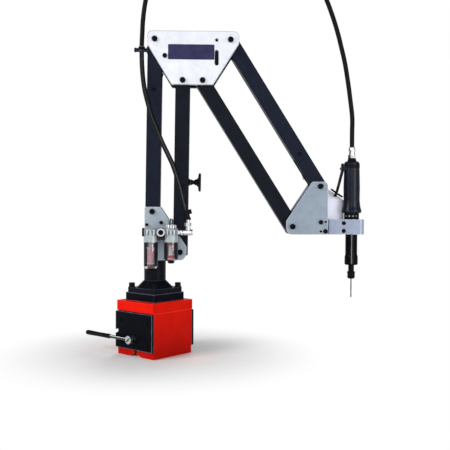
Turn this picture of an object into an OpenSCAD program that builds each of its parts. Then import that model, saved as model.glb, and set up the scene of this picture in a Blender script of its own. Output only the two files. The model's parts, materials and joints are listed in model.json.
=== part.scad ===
// Air die grinder on a balanced double-parallelogram arm with a switchable magnetic base.
// Millimetres. Origin: centre of the base's underside. +Z up, +X along the arm to the tool.

/* [Magnetic base] */
// Side of the square base housing
base_side = 125; // [120:1:136]
// Height of the base housing under its cap
base_h = 105; // [98:1:110]
// Length of the cap plate, which reaches partly over both end plates
cap_l = 132; // [130:1:146]
// Thickness of the cap plate
cap_t = 23.5; // [20:0.5:32]
// Turn of the base under the arm, in degrees
base_turn = 47.5; // [40:0.5:50]
// Height of the magnet shaft above the bench
magnet_z = 42; // [38:1:44]
// Length of the switching lever from its shaft
lever_l = 158; // [120:1:158]

/* [Post] */
// Side of the lower flange
flange_side = 99; // [94:1:104]
// Side of the upper flange
post_flange_side = 92; // [88:1:98]
// Outer radius of the post
post_r = 26; // [24:1:30]
// Distance of each flange bolt from the post axis
flange_bolt_r = 55; // [50:1:58]

/* [Arm] */
// Length of each arm between its two pivots
arm_l = 406; // [400:1:412]
// Lean of the lower arms towards the tool
lower_angle = 0.7; // [0:0.1:2]
// Angle of the upper arms from straight down
upper_angle = 32; // [30:0.5:34]
// Height of the lowest outer pivot above the bench
pivot_z = 340; // [338:1:344]
// Sideways step from an outer pivot to its inner pivot
link_dx = 66; // [62:1:70]
// Drop from an outer pivot to its inner pivot
link_dz = 96; // [92:1:100]
// Distance between the two outer pivots of the elbow
elbow_span = 179; // [175:1:190]
// Width and depth of the square arm tubes
tube_w = 35; // [32:0.5:36]
// Wall of the arm tubes
tube_wall = 3; // [2:0.5:3]
// Thickness of the side plates
plate_t = 9; // [7:1:12]

/* [Grinder] */
// Distance from the post axis to the tool axis
tool_x = 475; // [474:1:478]
// Radius of the grip at its top
grip_r = 18.6; // [18:0.2:19]
// Radius of the grip's flared foot
grip_foot_r = 24; // [22:0.5:24]
// Radius of the burr shank
shank_r = 1.6; // [1.5:0.1:3]

/* [Air supply] */
// Distance of the filter and lubricator in front of the arm plane
frl_y = -55; // [-60:1:-54]
// Radius of the air hose
hose_r = 5.5; // [4:0.5:6]

/* [Hidden] */
$fn = 48;

// Pivots as [x, z] in the arm plane
A1 = [-5, pivot_z];
A2 = A1 + [link_dx, -link_dz];
B1 = A1 + arm_l * [sin(lower_angle), cos(lower_angle)];
C1 = B1 + [elbow_span, 0];
D1 = C1 + arm_l * [sin(upper_angle), -cos(upper_angle)];

// Stack across the arm plane: tube, gap for the bush flanges, plate
half_tube = tube_w / 2;
side_gap = 2;
plate_in = half_tube + side_gap;
plate_out = plate_in + plate_t;

// Pivot hardware
pivot_r = 5;
plate_hole_r = 5.05;
bush_bore_r = 5.06;
loose_bore_r = 5.3;
bush_r = 8;
bush_flange_r = 10;
bush_flange_t = 1.7;
sleeve_r = 11;
tube_over = 8;
small_bolt_r = 4;

// Heights in the base and post
cap_top = base_h + cap_t;
flange_t = 18.5;
post_foot = cap_top + flange_t;
post_flange_t = 11.5;
post_shoulder = post_foot + post_flange_t;
yoke_foot = pivot_z - 115;
post_top = yoke_foot - 1;
spindle_r = 12.5;
bearing_r = 21;
bearing_h = 12;
bearing_z = [post_foot, post_top - 4 - bearing_h];
plate_z = [17, 103.5];
end_t = 7;
core_r = 27;

// Balance springs: pin on the tube and anchor on the plates, from the near pivot
lower_pin = arm_l - 117;
upper_pin = 314;
elbow_anchor = [24, -39];
head_anchor = [-14, -30];
spring_wire = 1.3;
spring_coil = 7;
spring_turns = 12;

// Height of the lock knob along the inner lower arm
knob_up = 167;

// Filter and lubricator
filter_x = -6;
oiler_x = 41;
port_z = 292;
head_z = [269, 301];

// Grinder heights
grip_z = [338, 463];
clamp_z = [287, 323];
swivel_top = 497;

// Throttle lever and lock-off lever in the arm plane
throttle_hinge = [452, 446];
lock_hinge = [438.5, 386];

// Air hose route from the oiler's outlet to the grinder, chosen by hand
hose_route = [
    [74.18, -55, 344.32], [71.69, -55, 354.31], [69.2, -55, 364.3], [60.7, -55, 398.4], [46, -54, 444],
    [33, -53, 473],
    [19, -51, 502], [7, -48, 531], [-5, -45, 560], [-14, -41, 591], [-22, -36, 622], [-27, -30, 653],
    [-30, -24, 688], [-31, -20, 724], [-30, -18, 760], [-28, -17, 797], [-22, -16, 840], [-9, -15, 890],
    [14, -14, 940], [48, -12, 985], [93, -10, 1019], [144, -8, 1037], [198, -7, 1038], [250, -6, 1024],
    [300, -5, 997], [346, -4, 958], [380, -3, 913], [405, -2, 863], [423, -2, 818], [437, -1, 776],
    [447, -1, 738], [456, -1, 700], [464, 0, 655], [470, 0, 612], [475, 0, 570], [475, 0, 533],
    [475, 0, 497]];
// Where the hose passes the peg, and two marks that share the arch out
peg_mark = 13;
arch_mark_1 = 19;
arch_mark_2 = 29;
hose_steps = 2;
hose_sides = 10;

// Colours as the object shows them
black_paint = "#1b2029";
red_enamel = "#dd1606";
grey_paint = "#a9b3bc";
silver = "#dfe2e6";
steel = "#c4c7ca";
dark_steel = "#2a2d31";
bronze = "#a87a3d";
clear = "#e6dedc";
rubber = "#15171b";

// Outlines with rounded corners: each corner becomes an arc of its own radius
function unit(v) = v / norm(v);
function corner(a, p, b, r, n = 6) =
    let (u = unit(a - p), v = unit(b - p), half = acos(u * v) / 2)
    let (c = p + unit(u + v) * r / sin(half))
    let (s = p + u * r / tan(half) - c, e = p + v * r / tan(half) - c)
    let (a0 = atan2(s[1], s[0]), turn = ((atan2(e[1], e[0]) - a0 + 540) % 360) - 180)
    [for (i = [0 : n]) c + r * [cos(a0 + turn * i / n), sin(a0 + turn * i / n)]];
function rounded(pts, r) =
    let (n = len(pts))
    [for (i = [0 : n - 1])
        each corner(pts[(i + n - 1) % n], pts[i], pts[(i + 1) % n], is_list(r) ? r[i] : r)];
function box_outline(w, h) = [[-w / 2, -h / 2], [w / 2, -h / 2], [w / 2, h / 2], [-w / 2, h / 2]];
function bar_outline(a, b, w) =
    let (d = unit(b - a), n = [-d[1], d[0]] * w / 2)
    [a + n, a - n, b - n, b + n];

// A smooth curve through given points, and its direction at each sample
function pass(p, i, t) =
    let (n = len(p) - 1, a = p[max(i - 1, 0)], b = p[i], c = p[min(i + 1, n)], d = p[min(i + 2, n)])
    0.5 * (2 * b + (c - a) * t + (2 * a - 5 * b + 4 * c - d) * t * t + (3 * b - a - 3 * c + d) * t * t * t);
function smooth(p, steps) =
    [for (i = [0 : len(p) - 2]) each [for (k = [0 : steps - 1]) pass(p, i, k / steps)], p[len(p) - 1]];
function heading(p, i) = unit(p[min(i + 1, len(p) - 1)] - p[max(i - 1, 0)]);

// A round tube swept along samples i0 to i1 of a path, closed at both ends
module swept_tube(path, i0, i1, r, sides, across = [0, 1, 0]) {
    rings = i1 - i0;
    points = [for (i = [i0 : i1])
        let (t = heading(path, i), u = unit(cross(across, t)), v = cross(t, u))
        for (k = [0 : sides - 1]) path[i] + r * (cos(360 * k / sides) * u + sin(360 * k / sides) * v)];
    skin = [for (i = [0 : rings - 1]) for (k = [0 : sides - 1])
        let (a = i * sides + k, b = i * sides + (k + 1) % sides)
        each [[a, b + sides, b], [a, a + sides, b + sides]]];
    foot = [for (k = [1 : sides - 2]) [0, k, k + 1]];
    last = rings * sides;
    tip = [for (k = [1 : sides - 2]) [last, last + k + 1, last + k]];
    polyhedron(points, concat(skin, foot, tip));
}

// Shapes placed in the arm plane and through it
module slab(y0, t) {
    translate([0, y0 + t, 0]) rotate([90, 0, 0]) linear_extrude(t) children();
}
module rod_x(p, r, x0, x1) {
    translate([x0, p[0], p[1]]) rotate([0, 90, 0]) cylinder(r = r, h = x1 - x0);
}
module rod_y(p, r, y0, y1) {
    translate([p[0], y1, p[1]]) rotate([90, 0, 0]) cylinder(r = r, h = y1 - y0);
}
module rod_z(p, r, z0, z1) {
    translate([p[0], p[1], z0]) cylinder(r = r, h = z1 - z0);
}
module hex_y(p, r, y0, y1) {
    translate([p[0], y1, p[1]]) rotate([90, 0, 0]) cylinder(r = r, h = y1 - y0, $fn = 6);
}
module both_sides() {
    children();
    mirror([0, 1, 0]) children();
}
module at(p) {
    translate([p[0], 0, p[1]]) children();
}
module lower_arm(p) {
    at(p) rotate([0, lower_angle, 0]) children();
}
module upper_arm(p) {
    at(p) rotate([0, 180 - upper_angle, 0]) children();
}

// Cap screw through both plates, socket head in front and nut behind
module through_bolt(p, r, head_r, head_t) {
    socket_r = 0.52 * head_r;
    difference() {
        union() {
            rod_y(p, r, -plate_out, plate_out + 8);
            rod_y(p, head_r, -plate_out - head_t, -plate_out);
            hex_y(p, 1.7 * r, plate_out, plate_out + 6.5);
        }
        hex_y(p, socket_r, -plate_out - head_t - 1, -plate_out - 0.4 * head_t);
    }
}

// Magnetic base
module in_base() {
    rotate([0, 0, base_turn]) children();
}
module block(l, w, z0, z1) {
    translate([0, 0, z0]) linear_extrude(z1 - z0) polygon(rounded(box_outline(l, w), 2));
}
module at_flange_bolts() {
    for (k = [0 : 3]) rotate([0, 0, 45 + 90 * k]) translate([flange_bolt_r, 0, 0]) children();
}
screw_y = 44;
screw_z = [30, 82];
module at_end_screws() {
    for (m = [0, 1]) mirror([m, 0, 0]) for (y = [-screw_y, screw_y]) for (z = screw_z)
        translate([-base_side / 2, y, z]) rotate([0, -90, 0]) children();
}
bolt_foot = 82;
module base_housing() {
    slot_w = 10;
    groove_w = 42;
    groove_h = 8;
    groove_l = 36;
    color(red_enamel) in_base() difference() {
        block(base_side, base_side, 0, base_h);
        rod_x([0, magnet_z], core_r, -base_side, base_side);
        for (m = [0, 1]) mirror([m, 0, 0]) translate([base_side / 2 - groove_l, 0, 0]) {
            translate([0, -slot_w / 2, -1]) cube([base_side, slot_w, magnet_z - core_r + 3]);
            rotate([90, 0, 90]) linear_extrude(base_side)
                polygon([[-groove_w / 2, -0.01], [groove_w / 2, -0.01], [0, groove_h]]);
        }
        at_flange_bolts() translate([0, 0, bolt_foot]) cylinder(r = 5.05, h = 300);
        at_end_screws() translate([0, 0, -13]) cylinder(r = 2.52, h = 20);
    }
}
module base_cap() {
    color(red_enamel) in_base() difference() {
        block(cap_l, base_side, base_h, cap_top);
        at_flange_bolts() cylinder(r = 5.05, h = 300);
    }
}
module end_plate(x0) {
    difference() {
        translate([x0, 0, 0]) rotate([90, 0, 90]) linear_extrude(end_t)
            polygon(rounded([[-base_side / 2, plate_z[0]], [base_side / 2, plate_z[0]],
                [base_side / 2, plate_z[1]], [-base_side / 2, plate_z[1]]], 3));
        at_end_screws() translate([0, 0, -5]) cylinder(r = 2.52, h = 30);
    }
}
module front_end_plate() {
    notch = [base_side / 2 - 6, 57];
    notch_r = 4;
    color(black_paint) in_base() difference() {
        end_plate(-base_side / 2 - end_t);
        rod_x([0, magnet_z], 8.06, -base_side, 0);
        rod_x(notch, notch_r, -base_side, 0);
        translate([-base_side, notch[0], notch[1]]) rotate([-25, 0, 0])
            translate([0, 0, -notch_r]) cube([base_side, 20, 2 * notch_r]);
    }
}
module rear_end_plate() {
    color(black_paint) in_base() difference() {
        end_plate(base_side / 2);
        rod_x([0, magnet_z], 8.06, 0, base_side / 2 + end_t - 2);
    }
}
module end_plate_screws() {
    color(dark_steel) in_base() at_end_screws() {
        translate([0, 0, -12]) cylinder(r = 2.5, h = end_t + 12);
        translate([0, 0, end_t]) difference() {
            cylinder(r1 = 4.6, r2 = 3.6, h = 3.2);
            translate([0, 0, 1.4]) cylinder(r = 1.9, h = 3, $fn = 6);
        }
    }
}
module magnet_core() {
    core_half = base_side / 2 - 0.5;
    color("#6a6e73") in_base() difference() {
        union() {
            rod_x([0, magnet_z], core_r - 0.1, -core_half, core_half);
            rod_x([0, magnet_z], 8, 0, base_side / 2 + end_t - 2.5);
        }
        for (s = [-1, 1]) translate([-base_side, -3, magnet_z + s * core_r - 3])
            cube([2 * base_side, 6, 6]);
    }
}
hub_end = base_side / 2 + 23.5;
rod_at = base_side / 2 + 18.5;
lever_r = 3.8;
module lever_hub() {
    color(steel) in_base() difference() {
        union() {
            rod_x([0, magnet_z], 8, -base_side / 2 - 11, -base_side / 2 + 0.5);
            rod_x([0, magnet_z], 9.5, -hub_end, -base_side / 2 - end_t - 0.6);
        }
        rod_y([-rod_at, magnet_z], lever_r + 0.02, -20, 20);
        translate([-hub_end + 1, 0, magnet_z]) rotate([0, -90, 0]) cylinder(r = 3, h = 5, $fn = 6);
    }
}
grip_from = 68;
module lever_rod() {
    color(dark_steel) in_base() rod_y([-rod_at, magnet_z], lever_r, -13, lever_l - 6);
}
module lever_grip() {
    grip_end = 2;
    color(rubber) in_base() translate([-rod_at, grip_from, magnet_z]) rotate([-90, 0, 0]) difference() {
        rotate_extrude() polygon([[0, 0], [4.6, 0], [5.4, 3], [5.2, 40], [5.8, lever_l - grip_from - 6],
            [4.6, lever_l - grip_from - grip_end], [0, lever_l - grip_from]]);
        translate([0, 0, -1]) cylinder(r = lever_r + 0.02, h = lever_l - grip_from - 5 + 0.02);
    }
}

// Post
module flange_plate() {
    color(black_paint) in_base() difference() {
        block(flange_side, flange_side, cap_top, post_foot);
        cylinder(r = 17, h = 300);
        at_flange_bolts() cylinder(r = 5.05, h = 300);
    }
}
module post() {
    bell_r = 40;
    foot_r = 44;
    bell_z = [post_shoulder + 3.5, post_shoulder + 17.5];
    color(black_paint) difference() {
        union() {
            in_base() block(post_flange_side, post_flange_side, post_foot, post_shoulder);
            rotate_extrude() polygon([[0, post_shoulder - 1], [foot_r, post_shoulder - 1],
                [foot_r, post_shoulder], [bell_r, bell_z[0]], [post_r, bell_z[1]], [post_r, post_top - 1.5],
                [post_r - 1.5, post_top], [0, post_top]]);
        }
        translate([0, 0, post_foot - 1]) cylinder(r = 14.5, h = 200);
        for (z = bearing_z) translate([0, 0, z == post_foot ? z - 1 : z])
            cylinder(r = bearing_r + 0.02, h = z == post_foot ? bearing_h + 1 : 60);
        in_base() at_flange_bolts() cylinder(r = 5.05, h = 300);
    }
}
module flange_bolts() {
    head_h = 11;
    color(dark_steel) in_base() at_flange_bolts() {
        translate([0, 0, bolt_foot + 1]) cylinder(r = 5, h = post_shoulder - bolt_foot - 1);
        translate([0, 0, post_shoulder]) cylinder(r = 8.6, h = 1.6);
        translate([0, 0, post_shoulder + 1.6]) cylinder(r = 7.2, h = head_h - 1.6, $fn = 6);
    }
}
module swivel_bearings() {
    groove = [15.5, 18.5];
    color(steel) for (z = bearing_z) difference() {
        translate([0, 0, z]) cylinder(r = bearing_r, h = bearing_h);
        cylinder(r = spindle_r + 0.06, h = 400);
        for (g = [z - 1, z + bearing_h - 1]) translate([0, 0, g]) difference() {
            cylinder(r = groove[1], h = 2);
            cylinder(r = groove[0], h = 2);
        }
    }
}

// Yoke
yoke_bolt_at = [[21.5, -26], [-12.5, -31]];
yoke_bolt_head = [4.4, 3.6];
yoke_bolt_r = 2.5;
module yoke_block() {
    shoulder_gap = 0.3;
    top_bearing = bearing_z[1] + bearing_h + shoulder_gap;
    color(grey_paint) difference() {
        union() {
            slab(-plate_in, 2 * plate_in) polygon([[-18, yoke_foot], [39, yoke_foot], [39, A1[1] - 40],
                [30, A1[1] - 20.5], [-18, A1[1] - 20.5]]);
            rod_z([0, 0], 17, top_bearing, yoke_foot);
            rod_z([0, 0], spindle_r, cap_top + 4, yoke_foot);
            translate([0, 0, cap_top + 4]) cylinder(r = 15.5, h = flange_t - 4.5, $fn = 6);
        }
        for (p = yoke_bolt_at) rod_y(A1 + p, yoke_bolt_r + 0.05, -60, 60);
    }
}
link_outline = [[-18, 11], [19, 11], [link_dx + 15, -link_dz + 13], [link_dx + 15, -link_dz - 5],
    [link_dx + 9, -115], [-18, -115]];
yoke_radii = [4, 6, 8, 14, 14, 4];
head_radii = [10, 6, 10, 8, 10, 3];
// Plate that carries an outer and an inner pivot; side -1 turns it to face the other way
module link_plate(y0, side, radii) {
    difference() {
        slab(y0, plate_t) polygon(rounded([for (p = link_outline) [side * p[0], p[1]]], radii));
        for (p = [[0, 0], [side * link_dx, -link_dz]]) rod_y(p, plate_hole_r, -60, 60);
    }
}
module yoke_plate(y0) {
    difference() {
        at(A1) link_plate(y0, 1, yoke_radii);
        for (p = yoke_bolt_at) rod_y(A1 + p, yoke_bolt_r + 0.05, -60, 60);
    }
}
module yoke_plate_front() {
    color(grey_paint) yoke_plate(-plate_out);
}
module yoke_plate_rear() {
    color(grey_paint) yoke_plate(plate_in);
}
module yoke_bolts() {
    color(dark_steel) {
        for (p = [A1, A2]) through_bolt(p, pivot_r, 6.6, 5);
        for (i = [0, 1]) through_bolt(A1 + yoke_bolt_at[i], yoke_bolt_r, yoke_bolt_head[i], 4);
    }
}

// Filter and lubricator unit
bowl_r = 15.2;
bowl_top = head_z[0] + 4;
module unit_head(x, x0, x1) {
    head_r = 15.3;
    bevel = 2.5;
    collar_r = 16.6;
    collar_h = 15;
    difference() {
        union() {
            rod_z([x, frl_y], head_r, head_z[0], head_z[1] - bevel);
            translate([x, frl_y, head_z[1] - bevel]) cylinder(r1 = head_r, r2 = head_r - bevel, h = bevel);
            rod_z([x, frl_y], collar_r, head_z[0], head_z[0] + collar_h);
            rod_x([frl_y, port_z], 9, x0, x1);
        }
        rod_z([x, frl_y], bowl_r + 0.05, head_z[0] - 1, bowl_top);
    }
}
module bowl(x, foot) {
    round_h = 5;
    bowl_in = bowl_r - 2;
    translate([x, frl_y, 0]) rotate_extrude() polygon([
        [0, foot], [bowl_r - round_h, foot], [bowl_r - 1.5, foot + 1.5], [bowl_r, foot + round_h],
        [bowl_r, bowl_top], [bowl_in, bowl_top], [bowl_in, foot + round_h], [bowl_in - 2, foot + 3],
        [0, foot + 3]]);
}
inlet_x = -26;
outlet_x = 57;
link_x = [11, 24];
module filter_head() {
    color("#c9cdc8") difference() {
        unit_head(filter_x, inlet_x, link_x[0]);
        rod_x([frl_y, port_z], 5.7, inlet_x - 1, inlet_x + 12);
    }
}
module filter_bowl() {
    color(clear, 0.5) bowl(filter_x, 206);
}
module filter_element() {
    color("#e8e4da") translate([filter_x, frl_y, 0]) rotate_extrude() polygon([
        [0, 218], [9.5, 218], [9.5, 221], [8, 221], [8, 254], [9.5, 254], [9.5, 257],
        [4, 257], [4, bowl_top], [0, bowl_top]]);
}
module lubricator_head() {
    ribs = 16;
    color("#c9cdc8") {
        difference() {
            union() {
                unit_head(oiler_x, link_x[1], outlet_x);
                rod_z([oiler_x, frl_y], 10.5, head_z[1] - 1, head_z[1] + 8);
            }
            for (k = [0 : ribs - 1]) translate([oiler_x, frl_y, head_z[1] + 1])
                rotate([0, 0, 360 * k / ribs]) translate([10.8, 0, 0]) cylinder(r = 0.9, h = 10);
        }
    }
}
module lubricator_bowl() {
    foot = 225;
    drain_r = 7.5;
    drain_z = foot - 5.5;
    color(clear, 0.5) union() {
        bowl(oiler_x, foot);
        translate([oiler_x, frl_y, 0]) rotate_extrude() polygon([
            [0, drain_z], [drain_r - 2, drain_z], [drain_r, drain_z + 2], [drain_r, foot + 1],
            [0, foot + 1]]);
    }
}
module sight_dome() {
    dome_r = 6;
    color(clear, 0.5) translate([oiler_x, frl_y, head_z[1] + 8]) {
        cylinder(r = 7, h = 2);
        translate([0, 0, 2]) cylinder(r = dome_r, h = 7);
        translate([0, 0, 9]) intersection() {
            sphere(r = dome_r);
            cylinder(r = 20, h = 20);
        }
    }
}
module frl_manifold() {
    plug_r = 9.5;
    color(grey_paint) difference() {
        union() {
            translate([link_x[0], frl_y - 12, port_z - 17]) cube([link_x[1] - link_x[0], 24, 26]);
            translate([link_x[0], frl_y + 12, port_z - 17])
                cube([link_x[1] - link_x[0], -plate_out - frl_y - 12, 26]);
            rod_y([18, port_z], plug_r, frl_y - 19, frl_y - 12);
        }
        hex_y([18, port_z], 4.2, frl_y - 20, frl_y - 14);
    }
}
elbow_x = 80;
module outlet_elbow() {
    branch_top = 321;
    color(steel) difference() {
        union() {
            translate([outlet_x, frl_y, port_z]) rotate([0, 90, 0]) cylinder(r = 8.4, h = 4, $fn = 6);
            translate([outlet_x + 4, frl_y, port_z]) rotate([0, 90, 0]) rotate_extrude() polygon([
                [0, 0], [5, 0], [7, 2], [7.4, 4], [7, 6], [5, 8], [5, 9], [7.5, 9], [7.5, 26], [0, 26]]);
            translate([outlet_x + 30, frl_y, port_z]) rotate([0, 90, 0]) cylinder(r = 6.4, h = 4, $fn = 6);
            rod_z([elbow_x, frl_y], 6, port_z, branch_top - 14);
            translate([elbow_x, frl_y, branch_top - 14]) cylinder(r = 8, h = 7, $fn = 6);
            rod_z([elbow_x, frl_y], 4.5, branch_top - 7, branch_top);
        }
        rod_x([frl_y, port_z], 3, outlet_x - 1, elbow_x + 3);
        rod_z([elbow_x, frl_y], 2.5, port_z, branch_top + 1);
    }
}
tail_tilt = 14;
module hose_tail() {
    tail_foot = 321;
    tail_l = 24;
    sunk = 4;
    color(rubber) translate([elbow_x, frl_y, tail_foot]) difference() {
        rotate([0, -tail_tilt, 0]) union() {
            rotate_extrude() polygon([
                [0, -sunk], [7.4, -sunk], [7.4, 4], [6.6, 5], [6.6, tail_l - 7],
                [7.4, tail_l - 6], [7.4, tail_l - 1], [6.4, tail_l], [0, tail_l]]);
            translate([5.5, -4.5, 12]) cube([7.5, 9, 11]);
        }
        translate([-20, -20, -20]) cube([40, 40, 20]);
    }
}

// Air hose
hose_path = smooth(hose_route, hose_steps);
module hose(from, to) {
    color(rubber) swept_tube(hose_path, from * hose_steps, to * hose_steps, hose_r, hose_sides);
}
module hose_riser() {
    hose(0, peg_mark);
}
module hose_arch_a() {
    hose(peg_mark, arch_mark_1);
}
module hose_arch_b() {
    hose(arch_mark_1, arch_mark_2);
}
module hose_arch_c() {
    hose(arch_mark_2, len(hose_route) - 1);
}

// Arm tubes with a welded cross sleeve at each pivot
module arm_tube(slot, pin) {
    slot_w = 19;
    pin_r = 4;
    pin_proud = 0.6;
    inner = tube_w - 2 * tube_wall;
    difference() {
        union() {
            difference() {
                translate([0, 0, -tube_over]) linear_extrude(arm_l + 2 * tube_over)
                    polygon(rounded(box_outline(tube_w, tube_w), 3));
                translate([0, 0, -tube_over - 1]) linear_extrude(arm_l + 2 * tube_over + 2)
                    polygon(rounded(box_outline(inner, inner), 1));
            }
            for (z = [0, arm_l]) rod_y([0, z], sleeve_r, -half_tube, half_tube);
            if (pin > 0) rod_y([0, pin], pin_r, -half_tube - pin_proud, half_tube + pin_proud);
        }
        for (z = [0, arm_l]) rod_y([0, z], bush_r, -tube_w, tube_w);
        if (slot[1] > slot[0]) translate([half_tube - tube_wall - 0.5, -slot_w / 2, slot[0]])
            cube([2 * tube_wall, slot_w, slot[1] - slot[0]]);
    }
}
module flanged_bush(z, bore_r) {
    bush_end = 1.5;
    difference() {
        union() {
            rod_y([0, z], bush_r - 0.02, -half_tube, -bush_end);
            rod_y([0, z], bush_flange_r, -half_tube - bush_flange_t, -half_tube);
        }
        rod_y([0, z], bore_r, -60, 60);
    }
}
module arm_bushes(near_bore, far_bore) {
    color(bronze) both_sides() {
        flanged_bush(0, near_bore);
        flanged_bush(arm_l, far_bore);
    }
}

// Extension spring from a pin at the origin to an anchor pin, in the plane of the arm
function hook(at_p, start, sweep, r) =
    [for (k = [0 : 5]) at_p + r * [cos(start + sweep * k / 5), 0, sin(start + sweep * k / 5)]];
function spring_path(a, b, pin_a, pin_b) =
    let (d = unit(b - a), n = [-d[2], 0, d[0]], y = [0, 1, 0], dir = atan2(d[2], d[0]))
    let (ra = pin_a + spring_wire + 0.4, rb = pin_b + spring_wire + 0.4)
    let (s0 = ra + 8, s1 = norm(b - a) - rb - 8, steps = spring_turns * 8)
    concat(
        hook(a, dir - 60, -240, ra),
        [for (k = [0 : steps])
            let (w = 360 * k / 8, grow = min(1, k / 8, (steps - k) / 8),
                r = spring_coil * (0.25 + 0.75 * grow))
            a + d * (s0 + (s1 - s0) * k / steps) + r * (cos(w) * n + sin(w) * y)],
        hook(b, dir + 180 + 300, -240, rb));
// Least clear gap between parts of the wire that are over half a turn apart
function wire_gap(path) =
    min([for (i = [0 : len(path) - 6]) for (j = [i + 5 : len(path) - 1]) norm(path[i] - path[j])])
    - 2 * spring_wire;
module balance_spring(a, b, pin_a, pin_b) {
    path = spring_path(a, b, pin_a, pin_b);
    echo(least_gap_in_spring = wire_gap(path));
    swept_tube(path, 0, len(path) - 1, spring_wire, 6, unit(cross(b - a, [0, 1, 0])) + 0.37 * unit(b - a));
}

module lower_outer_tube() {
    color(black_paint) lower_arm(A1) arm_tube([lower_pin + 4, arm_l - 24], lower_pin);
}
module lower_outer_bushes() {
    lower_arm(A1) arm_bushes(bush_bore_r, bush_bore_r);
}
module lower_spring() {
    pin = A1 + lower_pin * [sin(lower_angle), cos(lower_angle)];
    anchor = B1 + elbow_anchor;
    color(dark_steel) balance_spring([pin[0], 0, pin[1]], [anchor[0], 0, anchor[1]], 4, small_bolt_r);
}
module hose_peg() {
    peg_y = -7.5;
    peg_l = 32;
    band = [hose_r + 0.45, hose_r + 2.2];
    hose_at = hose_route[peg_mark] - [A1[0], 0, A1[1]];
    up = hose_at[2] * cos(lower_angle) + hose_at[0] * sin(lower_angle);
    side = hose_at[0] * cos(lower_angle) - hose_at[2] * sin(lower_angle);
    color(black_paint) lower_arm(A1) translate([0, 0, up]) difference() {
        union() {
            translate([-half_tube, peg_y, 0]) rotate([0, -90, 0]) rotate_extrude() polygon([
                [0, 0], [8, 0], [8, 2], [4.6, 3], [4.6, peg_l - 6], [5.6, peg_l - 5],
                [5.6, peg_l - 2], [4, peg_l], [0, peg_l]]);
            translate([side, hose_at[1], -5]) cylinder(r = band[1], h = 10);
            translate([side - 4, hose_at[1], -4]) cube([8, peg_y - hose_at[1], 8]);
        }
        translate([side, hose_at[1], -20]) cylinder(r = band[0], h = 40);
    }
}
boss_h = 3;
module lower_inner_tube() {
    color(black_paint) lower_arm(A2) difference() {
        union() {
            arm_tube([0, 0], 0);
            rod_x([0, knob_up], 8.5, half_tube - 1, half_tube + boss_h);
        }
        rod_x([0, knob_up], 4.06, 0, 40);
    }
}
module lower_inner_bushes() {
    lower_arm(A2) arm_bushes(bush_bore_r, loose_bore_r);
}
module lock_knob() {
    foot = half_tube + boss_h + 0.4;
    disc_r = 22;
    color(rubber) lower_arm(A2) translate([0, 0, knob_up]) rotate([0, 90, 0]) rotate_extrude() polygon([
        [0, 6], [3.9, 6], [3.9, foot], [6.8, foot], [6.8, foot + 4], [4.8, foot + 7], [4.8, foot + 9],
        [7.2, foot + 12], [7.4, foot + 15], [6.6, foot + 17], [11, foot + 20.5], [disc_r - 3, foot + 21.5],
        [disc_r, foot + 22.5], [disc_r, foot + 25], [disc_r - 4, foot + 26], [6, foot + 24.5],
        [0, foot + 24.5]]);
}

// Elbow
elbow_drop = 106;
elbow_top = 20;
elbow_reach = 17;
elbow_outline = [[-elbow_reach, -13], [39.5, -elbow_drop], [elbow_span - 41.5, -elbow_drop],
    [elbow_span + elbow_reach + 3, -9], [elbow_span + elbow_reach + 3, elbow_top], [-elbow_reach, elbow_top]];
elbow_radii = [8, 6, 6, 8, 13, 11];
elbow_pivots = [[0, 0], [link_dx, -link_dz], [elbow_span, 0], [elbow_span - link_dx, -link_dz]];
adjust_x = 146;
adjust_z = [-56, -29];
adjust_r = 4.5;
module elbow_plate(y0) {
    color(silver) at(B1) difference() {
        slab(y0, plate_t) polygon(rounded(elbow_outline, elbow_radii));
        for (p = elbow_pivots) rod_y(p, plate_hole_r, -60, 60);
        rod_y(elbow_anchor, small_bolt_r + 0.05, -60, 60);
        for (z = adjust_z) rod_y([adjust_x, z], adjust_r, -60, 0);
        translate([adjust_x - adjust_r, -60, adjust_z[0]])
            cube([2 * adjust_r, 60, adjust_z[1] - adjust_z[0]]);
        rod_y([adjust_x, -1], 3.6, -60, 0);
    }
}
module elbow_plate_front() {
    elbow_plate(-plate_out);
}
module elbow_plate_rear() {
    elbow_plate(plate_in);
}
// Slide of the balance adjuster, held behind the front plate's slot
module adjuster_slide() {
    slide_w = 17;
    slide_t = 8;
    key_t = 5;
    slide_z = [adjust_z[0] - 5, 6];
    translate([adjust_x - slide_w / 2, -plate_in, slide_z[0]])
        cube([slide_w, slide_t, slide_z[1] - slide_z[0]]);
    translate([adjust_x - adjust_r + 0.3, -plate_in - key_t, adjust_z[0]])
        cube([2 * adjust_r - 0.6, key_t + 1, adjust_z[1] - adjust_z[0] - 6]);
}
module elbow_bolts() {
    color(dark_steel) at(B1) {
        for (p = elbow_pivots) through_bolt(p, pivot_r, 6.6, 5);
        through_bolt(elbow_anchor, small_bolt_r, 5.4, 4);
        adjuster_slide();
    }
}
module name_plate() {
    plate_x = [31.5, 140.5];
    plate_top = -12;
    plate_h = 35.5;
    color("#3a3864") at(B1) translate([(plate_x[0] + plate_x[1]) / 2, 0, plate_top - plate_h / 2])
        slab(-plate_out - 0.8, 0.8) polygon(rounded(box_outline(plate_x[1] - plate_x[0], plate_h), 2));
}

// Upper arms
module upper_outer_tube() {
    color(black_paint) upper_arm(C1) arm_tube([upper_pin + 6, arm_l + tube_over + 1], upper_pin);
}
module upper_outer_bushes() {
    upper_arm(C1) arm_bushes(bush_bore_r, bush_bore_r);
}
module upper_spring() {
    pin = C1 + upper_pin * [sin(upper_angle), -cos(upper_angle)];
    anchor = D1 + head_anchor;
    color(dark_steel) balance_spring([pin[0], 0, pin[1]], [anchor[0], 0, anchor[1]], 4, small_bolt_r);
}
module upper_inner_tube() {
    color(black_paint) upper_arm(C1 + [-link_dx, -link_dz]) arm_tube([0, 0], 0);
}
module upper_inner_bushes() {
    upper_arm(C1 + [-link_dx, -link_dz]) arm_bushes(bush_bore_r, loose_bore_r);
}

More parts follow.
